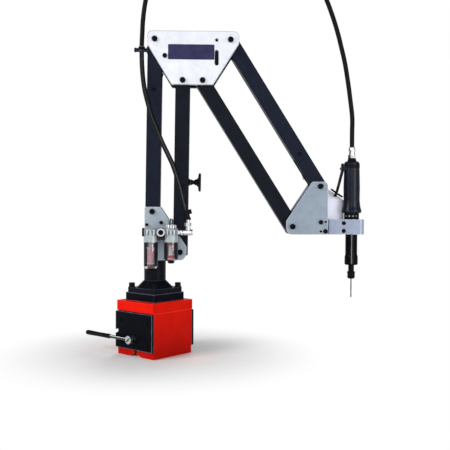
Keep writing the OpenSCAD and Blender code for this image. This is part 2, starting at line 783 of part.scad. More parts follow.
// Tool head
head_bolt_at = [[1.5, -85.5], [12.5, -107]];
head_pin_at = [[13, -84.5], [1.5, -107.5]];
head_bolt_r = 3.5;
head_pin_r = 3;
clamp_half = 22;
clamp_x = [415, 503];
pinch_x = 452;
pinch_z = [clamp_z[0] + 8.5, clamp_z[1] - 9];
module head_plate(y0) {
    color(grey_paint) at(D1) difference() {
        link_plate(y0, -1, head_radii);
        for (p = head_bolt_at) rod_y(p, head_bolt_r + 0.05, -60, 60);
        for (p = head_pin_at) rod_y(p, head_pin_r + 0.02, -60, 60);
        rod_y(head_anchor, small_bolt_r + 0.05, -plate_out + 3, plate_out - 3);
    }
}
module head_plate_front() {
    head_plate(-plate_out);
}
module head_plate_rear() {
    head_plate(plate_in);
}
module head_bolts() {
    pinch_r = 3;
    color(dark_steel) {
        at(D1) {
            for (p = [[0, 0], [-link_dx, -link_dz]]) through_bolt(p, pivot_r, 6.6, 5);
            for (p = head_bolt_at) through_bolt(p, head_bolt_r, 5.2, 3.5);
            for (p = head_pin_at) rod_y(p, head_pin_r, -plate_out - 0.3, plate_out);
            rod_y(head_anchor, small_bolt_r, -plate_out + 3.1, plate_out - 3.1);
        }
        for (z = pinch_z) difference() {
            union() {
                rod_y([pinch_x, z], pinch_r, -clamp_half + 4, clamp_half - 6);
                rod_y([pinch_x, z], 5, -clamp_half - 1, -clamp_half + 5);
            }
            hex_y([pinch_x, z], 2.6, -clamp_half - 2, -clamp_half + 2);
        }
    }
}
module tool_bracket() {
    web_t = 8;
    web_y = clamp_half - web_t - 0.5;
    web_x = [416, 460];
    web_top = [399, 369];
    slit = 2;
    tongue_x = D1[0] - 12;
    color("#c3c6d3") difference() {
        union() {
            translate([0, 0, clamp_z[0]]) linear_extrude(clamp_z[1] - clamp_z[0])
                polygon(rounded([[clamp_x[0], -clamp_half], [clamp_x[1], -clamp_half],
                    [clamp_x[1], clamp_half], [clamp_x[0], clamp_half]], [2, 12, 12, 2]));
            translate([tongue_x, -plate_in, clamp_z[0] + 1])
                cube([clamp_x[0] - tongue_x + 3, 2 * plate_in, clamp_z[1] - clamp_z[0] - 2]);
            difference() {
                slab(web_y, web_t) polygon([[web_x[0], clamp_z[1] - 1], [web_x[1], clamp_z[1] - 1],
                    [web_x[1], web_top[1]], [web_x[0], web_top[0]]]);
                rod_z([tool_x, 0], grip_foot_r + 1, clamp_z[1] - 2, web_top[0]);
            }
        }
        rod_z([tool_x, 0], 15.06, clamp_z[0] - 1, clamp_z[1] + 1);
        translate([tool_x - 50, -slit / 2, clamp_z[0] - 1])
            cube([50, slit, clamp_z[1] - clamp_z[0] + 0.99]);
        for (z = pinch_z) {
            rod_y([pinch_x, z], 3.05, -30, clamp_half - 5);
            rod_y([pinch_x, z], 5.1, -30, -clamp_half + 5);
        }
        for (p = head_bolt_at) rod_y(D1 + p, head_bolt_r + 0.05, -60, 60);
        for (p = head_pin_at) rod_y(D1 + p, head_pin_r + 0.02, -60, 60);
    }
}

// Grinder
module on_tool() {
    translate([tool_x, 0, 0]) children();
}
chamber = [346, 440];
module grinder_grip() {
    ear_y = [7.6, 11];
    ear_r = 4.2;
    profile = [[0, grip_z[0]], [grip_foot_r - 3, grip_z[0]], [grip_foot_r, grip_z[0] + 3],
        [grip_foot_r - 0.5, grip_z[0] + 7], [grip_foot_r - 3, grip_z[0] + 16], [19.4, grip_z[0] + 32],
        [19.8, 400], [grip_r, 446], [grip_r - 1.2, 450], [grip_r - 1.2, 453], [grip_r, 454], [grip_r, 459],
        [grip_r - 4, grip_z[1]], [0, grip_z[1]]];
    color(rubber) difference() {
        union() {
            on_tool() rotate_extrude() polygon(profile);
            both_sides() {
                rod_y(throttle_hinge, ear_r, ear_y[0], ear_y[1]);
                translate([throttle_hinge[0], ear_y[0], throttle_hinge[1] - ear_r])
                    cube([tool_x - 12 - throttle_hinge[0], ear_y[1] - ear_y[0], 2 * ear_r]);
            }
        }
        on_tool() {
            rod_z([0, 0], 15.05, grip_z[0] - 1, chamber[0]);
            rod_z([0, 0], 12.6, chamber[0] - 1, chamber[1]);
            rod_z([0, 0], 6.05, chamber[1] - 1, grip_z[1] + 1);
        }
        rod_y(throttle_hinge, 2.06, -30, 30);
    }
}
module exhaust_collar() {
    holes = 12;
    color(dark_steel) on_tool() difference() {
        rod_z([0, 0], 18, clamp_z[1], grip_z[0]);
        rod_z([0, 0], 15.05, clamp_z[1] - 1, grip_z[0] + 1);
        for (k = [0 : holes - 1]) rotate([0, 0, 360 * k / holes]) {
            rod_x([0, clamp_z[1] + 8], 2.2, 10, 30);
            translate([18.6, 0, clamp_z[1] - 1]) cylinder(r = 1.6, h = 5);
        }
    }
}
module nose_housing() {
    color(black_paint) on_tool() difference() {
        rotate_extrude() polygon([
            [0, 213], [14.5, 213], [16, 215], [16, 232], [14.4, 238], [14.4, clamp_z[0] - 1],
            [15, clamp_z[0] - 0.5], [15, chamber[0] - 0.3], [0, chamber[0] - 0.3]]);
        rod_z([0, 0], 7.06, 200, 360);
        rod_z([0, 0], 9, 235, 330);
    }
}
module air_inlet() {
    color(dark_steel) on_tool() difference() {
        union() {
            rod_z([0, 0], 6, chamber[1] + 8, grip_z[1]);
            rod_z([0, 0], 10.5, grip_z[1], grip_z[1] + 5);
            translate([0, 0, grip_z[1] + 5]) cylinder(r = 9.5, h = 3, $fn = 6);
        }
        rod_z([0, 0], 3.5, 400, 480);
    }
}
module hose_swivel() {
    foot = grip_z[1] + 8;
    color(steel) on_tool() difference() {
        union() {
            translate([0, 0, foot]) cylinder(r = 9.4, h = 7, $fn = 6);
            rotate_extrude() polygon([
                [0, foot + 7], [8.2, foot + 7], [8.2, foot + 9], [7.2, foot + 10], [7.2, foot + 15],
                [8, foot + 16], [8, foot + 23], [6.6, swivel_top], [0, swivel_top]]);
        }
        rod_z([0, 0], 3, foot - 1, swivel_top - 6);
    }
}
nut_z = [179.5, 197];
module rotor_shaft() {
    vanes = 4;
    color(dark_steel) on_tool() difference() {
        union() {
            rod_z([0, 0], 5.5, nut_z[0] + 5, nut_z[1] + 1);
            rod_z([0, 0], 7, nut_z[1] + 0.2, chamber[0] + 1);
            rod_z([0, 0], 12.2, chamber[0] + 0.4, chamber[1] - 4);
        }
        for (k = [0 : vanes - 1]) rotate([0, 0, 360 * k / vanes])
            translate([6, -0.8, chamber[0] + 4]) cube([10, 1.6, 80]);
        rod_z([0, 0], shank_r + 0.02, 0, nut_z[1] + 4);
    }
}
module collet_nut() {
    flat = 8.2;
    color(dark_steel) on_tool() difference() {
        rotate_extrude() polygon([[0, nut_z[0]], [7, nut_z[0]], [9.5, nut_z[0] + 4], [9.5, nut_z[1] - 1],
            [8.5, nut_z[1]], [0, nut_z[1]]]);
        rod_z([0, 0], 5.52, nut_z[0] + 5, nut_z[1] + 1);
        rod_z([0, 0], shank_r + 0.05, nut_z[0] - 1, nut_z[1]);
        for (s = [0, 180]) rotate([0, 0, s]) translate([flat, -20, nut_z[0] + 5]) cube([10, 40, 8]);
    }
}
module burr() {
    tip = 134;
    flutes = 6;
    color(steel) on_tool() difference() {
        union() {
            rod_z([0, 0], shank_r, tip + 18, nut_z[1] + 2);
            rotate_extrude() polygon([[0, tip], [shank_r - 0.5, tip], [shank_r, tip + 0.8],
                [shank_r, tip + 16], [shank_r - 0.5, tip + 18.5], [0, tip + 18.5]]);
        }
        for (k = [0 : flutes - 1]) rotate([0, 0, 360 * k / flutes]) translate([shank_r + 0.2, 0, tip - 1])
            cylinder(r = 0.5, h = 17);
    }
}

// Throttle
lever_half = 7;
module throttle_lever() {
    window_half = 5.4;
    window_z = [370, 404];
    color(dark_steel) difference() {
        union() {
            slab(-lever_half, 2 * lever_half) polygon([
                [454, 458], [454.5, 440], [442, 393], [436.5, 377],
                [432.5, 378.5], [438, 394.5], [449.5, 441], [450, 458]]);
            rod_y(throttle_hinge, 2, -11, 11);
        }
        translate([425, -window_half, window_z[0]]) cube([25, 2 * window_half, window_z[1] - window_z[0]]);
        rod_y(lock_hinge, 1.26, -30, 30);
    }
}
module lock_off_lever() {
    blade_half = 5;
    blade_t = 3.4;
    color(dark_steel) union() {
        slab(-blade_half, 2 * blade_half) polygon(bar_outline(lock_hinge, [425, 396], blade_t));
        slab(-blade_half, 2 * blade_half) polygon(bar_outline(lock_hinge, [452.8, 377], blade_t));
        rod_y(lock_hinge, 2.4, -blade_half, blade_half);
        rod_y(lock_hinge, 1.2, -lever_half, lever_half);
    }
}

base_housing();
base_cap();
front_end_plate();
rear_end_plate();
end_plate_screws();
flange_plate();
post();
flange_bolts();
swivel_bearings();
magnet_core();
lever_hub();
lever_rod();
lever_grip();
yoke_block();
yoke_plate_front();
yoke_plate_rear();
yoke_bolts();
filter_head();
filter_bowl();
filter_element();
lubricator_head();
lubricator_bowl();
sight_dome();
frl_manifold();
outlet_elbow();
hose_tail();
hose_riser();
lower_outer_tube();
lower_outer_bushes();
lower_spring();
hose_peg();
hose_arch_a();
lower_inner_tube();
lower_inner_bushes();
lock_knob();
elbow_plate_front();
elbow_plate_rear();
elbow_bolts();
name_plate();
hose_arch_b();
upper_outer_tube();
upper_outer_bushes();
upper_spring();
upper_inner_tube();
upper_inner_bushes();
head_plate_front();
head_plate_rear();
head_bolts();
tool_bracket();
grinder_grip();
exhaust_collar();
nose_housing();
air_inlet();
hose_swivel();
hose_arch_c();
rotor_shaft();
collet_nut();
burr();
throttle_lever();
lock_off_lever();
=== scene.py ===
# %% [markdown]
# # An air die grinder on a balanced bench arm
# The machine is a switchable magnetic base, a post, two pairs of parallel tubes and a straight air grinder.
# Its solids arrive finished as a frame in metres, so this lesson only adds what the eye needs: broken
# edges, the hose and springs at their real length, turned details, and a finish for every surface.

# %% Load the frame and note its size
import json
import math

import bmesh
import bpy
import numpy as np
from mathutils import Matrix


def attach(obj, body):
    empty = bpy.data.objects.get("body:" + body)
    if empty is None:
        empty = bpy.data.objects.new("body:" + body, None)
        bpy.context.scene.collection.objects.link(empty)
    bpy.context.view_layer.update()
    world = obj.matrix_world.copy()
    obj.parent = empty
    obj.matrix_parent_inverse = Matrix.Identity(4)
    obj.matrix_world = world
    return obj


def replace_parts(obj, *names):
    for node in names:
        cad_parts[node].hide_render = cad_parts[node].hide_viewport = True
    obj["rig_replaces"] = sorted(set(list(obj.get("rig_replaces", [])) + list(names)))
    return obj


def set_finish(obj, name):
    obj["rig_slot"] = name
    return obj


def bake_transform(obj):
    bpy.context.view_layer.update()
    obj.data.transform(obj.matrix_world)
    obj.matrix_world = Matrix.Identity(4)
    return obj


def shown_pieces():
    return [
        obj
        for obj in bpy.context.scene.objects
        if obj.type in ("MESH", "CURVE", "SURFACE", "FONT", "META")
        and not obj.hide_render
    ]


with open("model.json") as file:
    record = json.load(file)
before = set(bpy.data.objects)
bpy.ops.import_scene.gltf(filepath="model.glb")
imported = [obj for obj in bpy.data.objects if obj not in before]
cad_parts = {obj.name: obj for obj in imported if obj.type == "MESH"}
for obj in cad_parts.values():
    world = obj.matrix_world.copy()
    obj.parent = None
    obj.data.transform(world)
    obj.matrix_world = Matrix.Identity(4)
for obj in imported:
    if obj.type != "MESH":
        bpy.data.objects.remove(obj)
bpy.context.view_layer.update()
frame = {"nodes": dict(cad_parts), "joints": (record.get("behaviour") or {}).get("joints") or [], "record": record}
MM = 0.001
nodes = frame["nodes"]
record = frame["record"]
body_of = {n: body for body, members in record["behaviour"]["bodies"].items() for n in members}
slot_of = {part["node"]: part["material_slot"] for part in record["subparts"]}
pivot = {joint["name"]: np.array(joint["pos_m"], float) for joint in frame["joints"]}

# %% [markdown]
# ## The camera
# The camera was fitted to the photograph: it looks from the side, at about a third of the machine's height,
# through a lens of some 55 mm. A camera is a place and three directions: to the right, up, and back out of
# the picture. Working those three out from yaw, pitch and roll and putting them into one matrix avoids any
# guess about the order of turns.

# %% Camera
CAMERA_AT = np.array((0.1128, -1.6577, 0.3404))
YAW, PITCH, ROLL = np.radians((1.912, -1.109, 0.237))
FOCAL_PIXELS, IMAGE_PIXELS = 687.81, 450
SENSOR_MM = 36.0

ahead = np.array((math.sin(YAW) * math.cos(PITCH), math.cos(YAW) * math.cos(PITCH), math.sin(PITCH)))
level_right = np.array((math.cos(YAW), -math.sin(YAW), 0.0))
level_up = np.cross(level_right, ahead)
right = level_right * math.cos(ROLL) + level_up * math.sin(ROLL)
up = level_up * math.cos(ROLL) - level_right * math.sin(ROLL)

camera = bpy.data.objects.new("camera", bpy.data.cameras.new("camera"))
camera.data.sensor_width = SENSOR_MM
camera.data.lens = FOCAL_PIXELS / IMAGE_PIXELS * SENSOR_MM
placed = np.vstack([np.column_stack([right, up, -ahead, CAMERA_AT]), (0, 0, 0, 1)])
camera.matrix_world = Matrix(placed.tolist())
bpy.context.scene.collection.objects.link(camera)
bpy.context.scene.camera = camera
print("lens", round(camera.data.lens, 1), "mm")

# %% [markdown]
# ## Skins from grids
# Every piece that is turned, swept or wound here is a grid of points: rows along the piece and columns
# round it. Lofting curves or spinning an edge would do as well, but a grid computed as one array is exact,
# quick, and easy to bend. Each end is closed with a fan of triangles so that the skin is watertight.

# %% Grid to mesh
SHARP_ANGLE = math.radians(38)


def skin(name, grid, ring=False):
    """A tube-like skin: row i, column j of the grid joins its neighbours, and the last column joins the
    first. Each end row becomes a fan round its mean point, or, for a ring, the last row joins the first
    one. UV holds the turn (0 to 1) and metres along."""
    rows, cols = grid.shape[:2]
    i, j = np.meshgrid(np.arange(rows if ring else rows - 1), np.arange(cols), indexing="ij")
    k, n = (j + 1) % cols, (i + 1) % rows
    quads = np.stack([i * cols + j, i * cols + k, n * cols + k, n * cols + j], -1).reshape(-1, 4)
    steps = np.linalg.norm(np.diff(grid[:, 0], axis=0, append=grid[:1, 0]), axis=1)
    along = np.concatenate([[0], np.cumsum(steps)])
    uv = np.stack([np.stack([j, j + 1, j + 1, j], -1) / cols,
                   np.stack([along[i], along[i], along[i + 1], along[i + 1]], -1)], -1).reshape(-1, 2)
    points, faces = grid.reshape(-1, 3), quads.tolist()
    if not ring:
        points = np.vstack([points, grid[0].mean(0), grid[-1].mean(0)])
        turn, after = np.arange(cols), (np.arange(cols) + 1) % cols
        last = (rows - 1) * cols
        foot = np.stack([np.full(cols, rows * cols), after, turn], -1)
        tip = np.stack([np.full(cols, rows * cols + 1), last + turn, last + after], -1)
        faces += foot.tolist() + tip.tolist()
        fan_uv = np.stack([np.tile([0.5, 0, 1], cols), np.zeros(3 * cols)], -1)
        uv = np.vstack([uv, fan_uv, fan_uv + [0, along[rows - 1]]])
    mesh = bpy.data.meshes.new(name)
    mesh.from_pydata(points.tolist(), [], faces)
    mesh.uv_layers.new(name="Surface").data.foreach_set("uv", uv.astype(np.float32).ravel())
    mesh.polygons.foreach_set("use_smooth", np.ones(len(faces), bool))
    mesh.set_sharp_from_angle(angle=SHARP_ANGLE)
    piece = bpy.data.objects.new(name, mesh)
    bpy.context.scene.collection.objects.link(piece)
    return piece


def smooth(points, steps):
    """A curve through every point: between two points it is the cubic whose slope at each point is half the
    step between that point's neighbours."""
    p = np.vstack([points[:1], points, points[-1:]])
    a, b, c, d = (q[:, None, :] for q in (p[:-3], p[1:-2], p[2:-1], p[3:]))
    t = np.arange(steps)[None, :, None] / steps
    curve = (2 * b + (c - a) * t + (2 * a - 5 * b + 4 * c - d) * t**2 + (3 * b - a - 3 * c + d) * t**3) / 2
    return np.vstack([curve.reshape(-1, curve.shape[-1]), points[-1:]])


def sweep(line, radius, sides, across):
    """Rings of a round bar along a line, each square to the line and turned so that it keeps to across.
    Where the line comes to run along across, the next ring is half a turn round."""
    ahead_of = np.gradient(line, axis=0)
    ahead_of /= np.linalg.norm(ahead_of, axis=1)[:, None]
    u = np.cross(np.broadcast_to(across, line.shape), ahead_of)
    u /= np.linalg.norm(u, axis=1)[:, None]
    v = np.cross(ahead_of, u)
    turn = np.arange(sides)[None, :, None] * 2 * np.pi / sides
    return line[:, None] + radius * (np.cos(turn) * u[:, None] + np.sin(turn) * v[:, None])


def turned(name, rows, at, axis, sides=72, ring=False, shape=None):
    """A turned piece: each row is a radius and a height in millimetres, spun round the axis through at.
    Where a shape is given, the radius is multiplied by shape(turn, height), as for lobes or flutes."""
    rows = np.array(rows, float)
    axis = np.array(axis, float)
    u = np.cross(axis, (0, 1, 0) if abs(axis[1]) < 0.9 else (0, 0, 1))
    u /= np.linalg.norm(u)
    v = np.cross(axis, u)
    turn = np.arange(sides) * 2 * np.pi / sides
    radius, height = rows[:, :1] + 0 * turn[None], rows[:, 1:]
    if shape is not None:
        radius = radius * shape(turn[None], height)
    spoke = np.cos(turn)[:, None] * u + np.sin(turn)[:, None] * v
    grid = np.array(at) + MM * (height[:, :, None] * axis + radius[:, :, None] * spoke[None])
    return skin(name, grid, ring)


# %% [markdown]
# ## The air hose
# A stiff rubber hose of 11 mm feeds the grinder: out of the lubricator, past a peg near the top of the
# lower arm, over the elbow in a high arch and down into the swivel. It could be one curve, but the arm
# folds under it, so it is four lengths of one line, each listed with the two bodies that it joins.

# %% Hose
HOSE_R, HOSE_SIDES, HOSE_STEPS = 5.5 * MM, 24, 8
HOSE_ROUTE = MM * np.array([
    (74.18, -55, 344.32), (71.69, -55, 354.31), (69.2, -55, 364.3), (60.7, -55, 398.4), (46, -54, 444),
    (33, -53, 473), (19, -51, 502), (7, -48, 531), (-5, -45, 560), (-14, -41, 591), (-22, -36, 622),
    (-27, -30, 653), (-30, -24, 688), (-31, -20, 724), (-30, -18, 760), (-28, -17, 797), (-22, -16, 840),
    (-9, -15, 890), (14, -14, 940), (48, -12, 985), (93, -10, 1019), (144, -8, 1037), (198, -7, 1038),
    (250, -6, 1024), (300, -5, 997), (346, -4, 958), (380, -3, 913), (405, -2, 863), (423, -2, 818),
    (437, -1, 776), (447, -1, 738), (456, -1, 700), (464, 0, 655), (470, 0, 612), (475, 0, 570),
    (475, 0, 533), (475, 0, 497)])
HOSE_SPANS = [("hose_riser", "yoke", "lower_outer_arm", 0, 13),
              ("hose_arch_a", "lower_outer_arm", "elbow", 13, 19),
              ("hose_arch_b", "elbow", "upper_outer_arm", 19, 29),
              ("hose_arch_c", "upper_outer_arm", "head", 29, 36)]
ACROSS = np.array((0.0, 1.0, 0.0))

hose_line = smooth(HOSE_ROUTE, HOSE_STEPS)
hose_rings = sweep(hose_line, HOSE_R, HOSE_SIDES, ACROSS)
hose_pieces = []
for node, body, next_body, first, last in HOSE_SPANS:
    cut = slice(first * HOSE_STEPS, last * HOSE_STEPS + 1)
    piece = skin(node + "_rubber", hose_rings[cut])
    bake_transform(piece)
    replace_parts(piece, node)
    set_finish(piece, slot_of[node])
    hose_pieces.append(piece)

# %% [markdown]
# ## The balance springs
# Each pair of arms has an extension spring that hides in the outer tube and hooks to the next plate. A
# spring is a round wire along a helix whose radius shrinks towards both ends, where the wire runs into a
# hook. The two ends sit on different bodies, which are listed with each spring. At four places on the hooks
# and one at the end of the coil the rings flip over and pinch the wire.
# Carrying each ring's turn on from the last one would avoid that.

# %% Springs
WIRE_R, COIL_R, TURNS, TURN_STEPS = 1.3 * MM, 7 * MM, 12, 20
COILED = 0.62
PIN_R, HOOK_GAP, HOOK_REACH = 4 * MM, 0.4 * MM, 8 * MM
WIRE_SIDES, WIRE_SKEW = 8, 0.37


def spring_line(a, b):
    """From a hook round pin a, along a helix to a hook round pin b. The helix point is a + d s + r (n cos w
    + y sin w). The turns are packed into the first part of the length, inside the tube, and r rises to the
    coil's radius over the first turn and falls to nothing over the last, which leaves a straight wire."""
    d = (b - a) / np.linalg.norm(b - a)
    n = np.cross(d, ACROSS)
    hook_r = PIN_R + WIRE_R + HOOK_GAP
    reach = hook_r + HOOK_REACH
    turn = np.linspace(0, TURNS, TURNS * TURN_STEPS + 1)
    w = 2 * np.pi * turn
    r = COIL_R * np.clip(np.minimum(turn + 0.25, TURNS - turn), 0, 1)
    s = reach + (np.linalg.norm(b - a) - 2 * reach) * COILED * turn / TURNS
    helix = a + np.outer(s, d) + r[:, None] * (np.outer(np.cos(w), n) + np.outer(np.sin(w), ACROSS))
    bow = np.radians(np.linspace(-150, 60, 18))
    near = a + hook_r * (np.outer(np.cos(bow), d) + np.outer(np.sin(bow), n))
    far = b - hook_r * (np.outer(np.cos(bow[::-1]), d) - np.outer(np.sin(bow[::-1]), n))
    return np.vstack([near, helix, far])


UPPER_LEAN = math.radians(32)
LOWER_LEAN = math.radians(0.7)
LOWER_PIN, UPPER_PIN = 289 * MM, 314 * MM
ELBOW_ANCHOR, HEAD_ANCHOR = MM * np.array((24, 0, -39)), MM * np.array((-14, 0, -30))
lower_pin = pivot["lower_lift"] + LOWER_PIN * np.array((math.sin(LOWER_LEAN), 0, math.cos(LOWER_LEAN)))
upper_pin = pivot["upper_lift"] + UPPER_PIN * np.array((math.sin(UPPER_LEAN), 0, -math.cos(UPPER_LEAN)))
for node, a, b, bodies in (
        ("lower_spring", lower_pin, pivot["elbow_level"] + ELBOW_ANCHOR, ("lower_outer_arm", "elbow")),
        ("upper_spring", upper_pin, pivot["head_level"] + HEAD_ANCHOR, ("upper_outer_arm", "head"))):
    along = (b - a) / np.linalg.norm(b - a)
    rings = sweep(spring_line(a, b), WIRE_R, WIRE_SIDES, np.cross(along, ACROSS) + WIRE_SKEW * along)
    piece = skin(node + "_wire", rings)
    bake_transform(piece)
    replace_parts(piece, node)
    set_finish(piece, slot_of[node])
    print(node, round(float(np.linalg.norm(b - a)) / MM), "mm between its pins")

# %% [markdown]
# ## Broken edges
# No machined or painted part has a knife edge: a file, a tumbler or the paint itself rounds it, and that
# thin rounding is what catches the light. The solids arrive as loose triangles, so a copy is merged, its
# flat faces are joined up again, a Bevel modifier rounds every edge sharper than a set angle, and weighted
# normals keep the large faces looking flat.

# %% Copies with broken edges
EDGE_WIDTHS = {
    "base_housing": 1.2, "base_cap": 2.4, "front_end_plate": 1.0, "rear_end_plate": 1.0, "flange_plate": 1.2,
    "post": 1.0, "yoke_plate_front": 0.8, "yoke_plate_rear": 0.8, "elbow_plate_front": 0.7,
    "elbow_plate_rear": 0.7, "head_plate_front": 0.8, "head_plate_rear": 0.8, "tool_bracket": 0.8,
    "yoke_block": 0.8, "throttle_lever": 0.4, "lock_off_lever": 0.3, "name_plate": 0.2,
    "lower_outer_tube": 0.3, "lower_inner_tube": 0.3, "upper_outer_tube": 0.3, "upper_inner_tube": 0.3,
    "yoke_bolts": 0.45, "elbow_bolts": 0.45, "head_bolts": 0.35, "flange_bolts": 0.5,
    "end_plate_screws": 0.25, "lever_hub": 0.5, "lever_rod": 0.5, "outlet_elbow": 0.3, "filter_head": 0.5,
    "lubricator_head": 0.3, "exhaust_collar": 0.3, "collet_nut": 0.35, "air_inlet": 0.3,
    "hose_swivel": 0.3, "nose_housing": 0.4, "grinder_grip": 0.5, "hose_peg": 0.4, "hose_tail": 0.3,
    "lever_grip": 0.4, "frl_manifold": 0.7}
EDGE_ANGLE, FLAT_ANGLE = math.radians(34), math.radians(0.4)
MERGE_GAP = 2e-6


def broken_edges(node, width):
    """A merged copy of a solid, on its own body, whose edges over EDGE_ANGLE are rounded by width."""
    mesh = nodes[node].data.copy()
    work = bmesh.new()
    work.from_mesh(mesh)
    bmesh.ops.remove_doubles(work, verts=work.verts, dist=MERGE_GAP)
    bmesh.ops.dissolve_limit(work, angle_limit=FLAT_ANGLE, verts=work.verts, edges=work.edges)
    work.to_mesh(mesh)
    work.free()
    mesh.polygons.foreach_set("use_smooth", np.ones(len(mesh.polygons), bool))
    mesh.set_sharp_from_angle(angle=EDGE_ANGLE)
    piece = bpy.data.objects.new(node + "_finished", mesh)
    bpy.context.scene.collection.objects.link(piece)
    bevel = piece.modifiers.new("broken edges", "BEVEL")
    bevel.width = width * MM
    bevel.segments = 2
    bevel.limit_method = "ANGLE"
    bevel.angle_limit = EDGE_ANGLE
    flat = piece.modifiers.new("flat faces", "WEIGHTED_NORMAL")
    flat.keep_sharp = True
    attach(piece, body_of[node])
    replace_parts(piece, node)
    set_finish(piece, slot_of[node])
    return piece


finished = {node: broken_edges(node, width) for node, width in EDGE_WIDTHS.items()}
print(len(finished), "solids with broken edges")

# %% [markdown]
# ## Turned details
# Much of what tells this machine from a rough copy is lathe work: glass bowls with a wall, a sight dome
# with its drip tube, the port ring, pin heads, a lobed knob and a fluted burr. Each is a list of radii and
# heights spun round an axis. A screw modifier could spin a drawn edge, but numbers keep the fits with the
# solids exact.

# %% Fitting a piece to its body
UP, FRONT, ALONG = (0.0, 0.0, 1.0), (0.0, -1.0, 0.0), (1.0, 0.0, 0.0)


def fit(piece, like, replace=False):
    """Rides the piece on its solid's body, with that solid's slot, and may put it in the solid's place."""
    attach(piece, body_of[like])
    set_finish(piece, slot_of[like])
    if replace:
        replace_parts(piece, like)
    return piece


# %% Bowls, dome and ports of the air unit
AIR_Y, PORT_Z = -55.0, 292.0
FILTER, OILER = MM * np.array((-6.0, AIR_Y, 0.0)), MM * np.array((41.0, AIR_Y, 0.0))
BOWL_R, BOWL_WALL, BOWL_TOP = 15.2, 4.0, 273.0
BOWL_ROUND, INNER_ROUND, FLOOR_H = 6.0, 3.0, 3.0
FILTER_FOOT, OILER_FOOT = 206, 225
DOME_R, DOME_BORE = 6, 4.4


def bowl_rows(foot):
    """A cup: up the outside from the middle of the foot to the lip, then down the inside to its floor."""
    inner, floor = BOWL_R - BOWL_WALL, foot + FLOOR_H
    wide, tight = BOWL_ROUND, INNER_ROUND
    arc = np.radians(np.linspace(0, 90, 9))
    outside = np.stack([BOWL_R - wide + wide * np.sin(arc), foot + wide - wide * np.cos(arc)], 1)
    inside = np.stack([inner - tight + tight * np.cos(arc), floor + tight - tight * np.sin(arc)], 1)
    return np.vstack([(0.4, foot), outside, (BOWL_R, BOWL_TOP), (inner, BOWL_TOP), inside, (0.4, floor)])


dome_arc = np.radians(np.linspace(0, 86, 12))
dome_outside = np.stack([DOME_R * np.cos(dome_arc), 318 + DOME_R * np.sin(dome_arc)], 1)
dome_inside = np.stack([DOME_BORE * np.cos(dome_arc), 317.6 + DOME_BORE * np.sin(dome_arc)], 1)[::-1]
dome_rows = np.vstack([(0.4, 309), (7, 309), (7, 310.6), (6.6, 311), (DOME_R, 311), dome_outside, dome_inside,
                       (DOME_BORE, 311), (0.4, 311)])
glass = [fit(turned("filter_bowl_glass", bowl_rows(FILTER_FOOT), FILTER, UP), "filter_bowl", True),
         fit(turned("lubricator_bowl_glass", bowl_rows(OILER_FOOT), OILER, UP), "lubricator_bowl", True)]
dome = fit(turned("sight_dome_glass", dome_rows, OILER, UP), "sight_dome", True)

PORT, INLET = MM * np.array((18.0, AIR_Y, PORT_Z)), MM * np.array((0.0, AIR_Y, PORT_Z))
DRAIN_ROWS = [(0.4, 219.5), (5, 219.5), (6.6, 220.2), (7.5, 221.8), (7.5, 224), (7, 225), (0.4, 225)]
DRIP_ROWS = [(0.4, 311.1), (2.4, 311.1), (2.4, 313), (1.2, 314), (1.2, 319), (0.4, 319.6)]
PICKUP_ROWS = [(0.4, 229), (7.4, 229), (7.8, 230), (7.8, 238), (6.6, 239), (5.6, 241), (5.6, 260),
               (7.6, 262), (7.6, 272.9), (0.4, 272.9)]
RING_ROWS = [(4.4, 12.2), (9.7, 12.2), (9.7, 18.6), (9.2, 19.4), (6.2, 19.4), (5.4, 18.4), (4.4, 18.2)]
PLUG_ROWS = [(0.4, 14.2), (3.5, 14.2), (3.5, 17.2), (3, 17.8), (1.6, 17.8), (1.4, 16.2), (0.4, 16.2)]
INLET_ROWS = [(9.02, -26), (10, -25.8), (10, -21.6), (9.02, -21.4)]


def knurl(turn, height):
    """Twelve shallow waves round the drain knob, a fortieth of its radius high."""
    return 1 + 0.025 * np.cos(12 * turn)


drain = fit(turned("oil_drain_knob", DRAIN_ROWS, OILER, UP, shape=knurl), "hose_tail")
drip = fit(turned("drip_tube", DRIP_ROWS, OILER, UP), "frl_manifold")
pickup = fit(turned("oil_pickup_tube", PICKUP_ROWS, OILER, UP), "outlet_elbow")
ring = fit(turned("port_ring", RING_ROWS, PORT, FRONT, ring=True), "outlet_elbow")
plug = fit(turned("port_plug", PLUG_ROWS, PORT, FRONT), "yoke_bolts")
inlet = fit(turned("inlet_ring", INLET_ROWS, INLET, ALONG, ring=True), "yoke_bolts")
print("air unit:", [piece.name for piece in (*glass, dome, drain, drip, pickup, ring, plug, inlet)])

# %% [markdown]
# ### Guards and ribs
# Each bowl stands in a guard with a window in front and behind, and the heads and the oiler's cap have
# ribs to grip. A guard could be cut from a tube, but a thin rectangle carried round the axis needs no cut.
# The ribs are turned rings whose radius follows a clipped cosine.

# %% Guards and ribs of the air unit
GUARD_IN, GUARD_OUT, GUARD_TOP, WINDOW = 15.3, 16.2, 268.8, math.radians(37)


def guard_strip(name, middle, foot, side):
    """Half of a slotted guard round a bowl: a thin upright rectangle carried round the axis from the edge
    of the front window to the edge of the window behind."""
    way = (np.linspace(WINDOW, np.pi - WINDOW, 25) * side)[::side]
    radius = np.array((GUARD_IN, GUARD_OUT, GUARD_OUT, GUARD_IN))
    height = np.array((foot, foot, GUARD_TOP, GUARD_TOP))
    spoke = np.stack([np.sin(way), -np.cos(way), 0 * way], 1)
    grid = middle + MM * (spoke[:, None] * radius[None, :, None] + height[None, :, None] * np.array(UP))
    return fit(skin(name, grid), "frl_manifold")


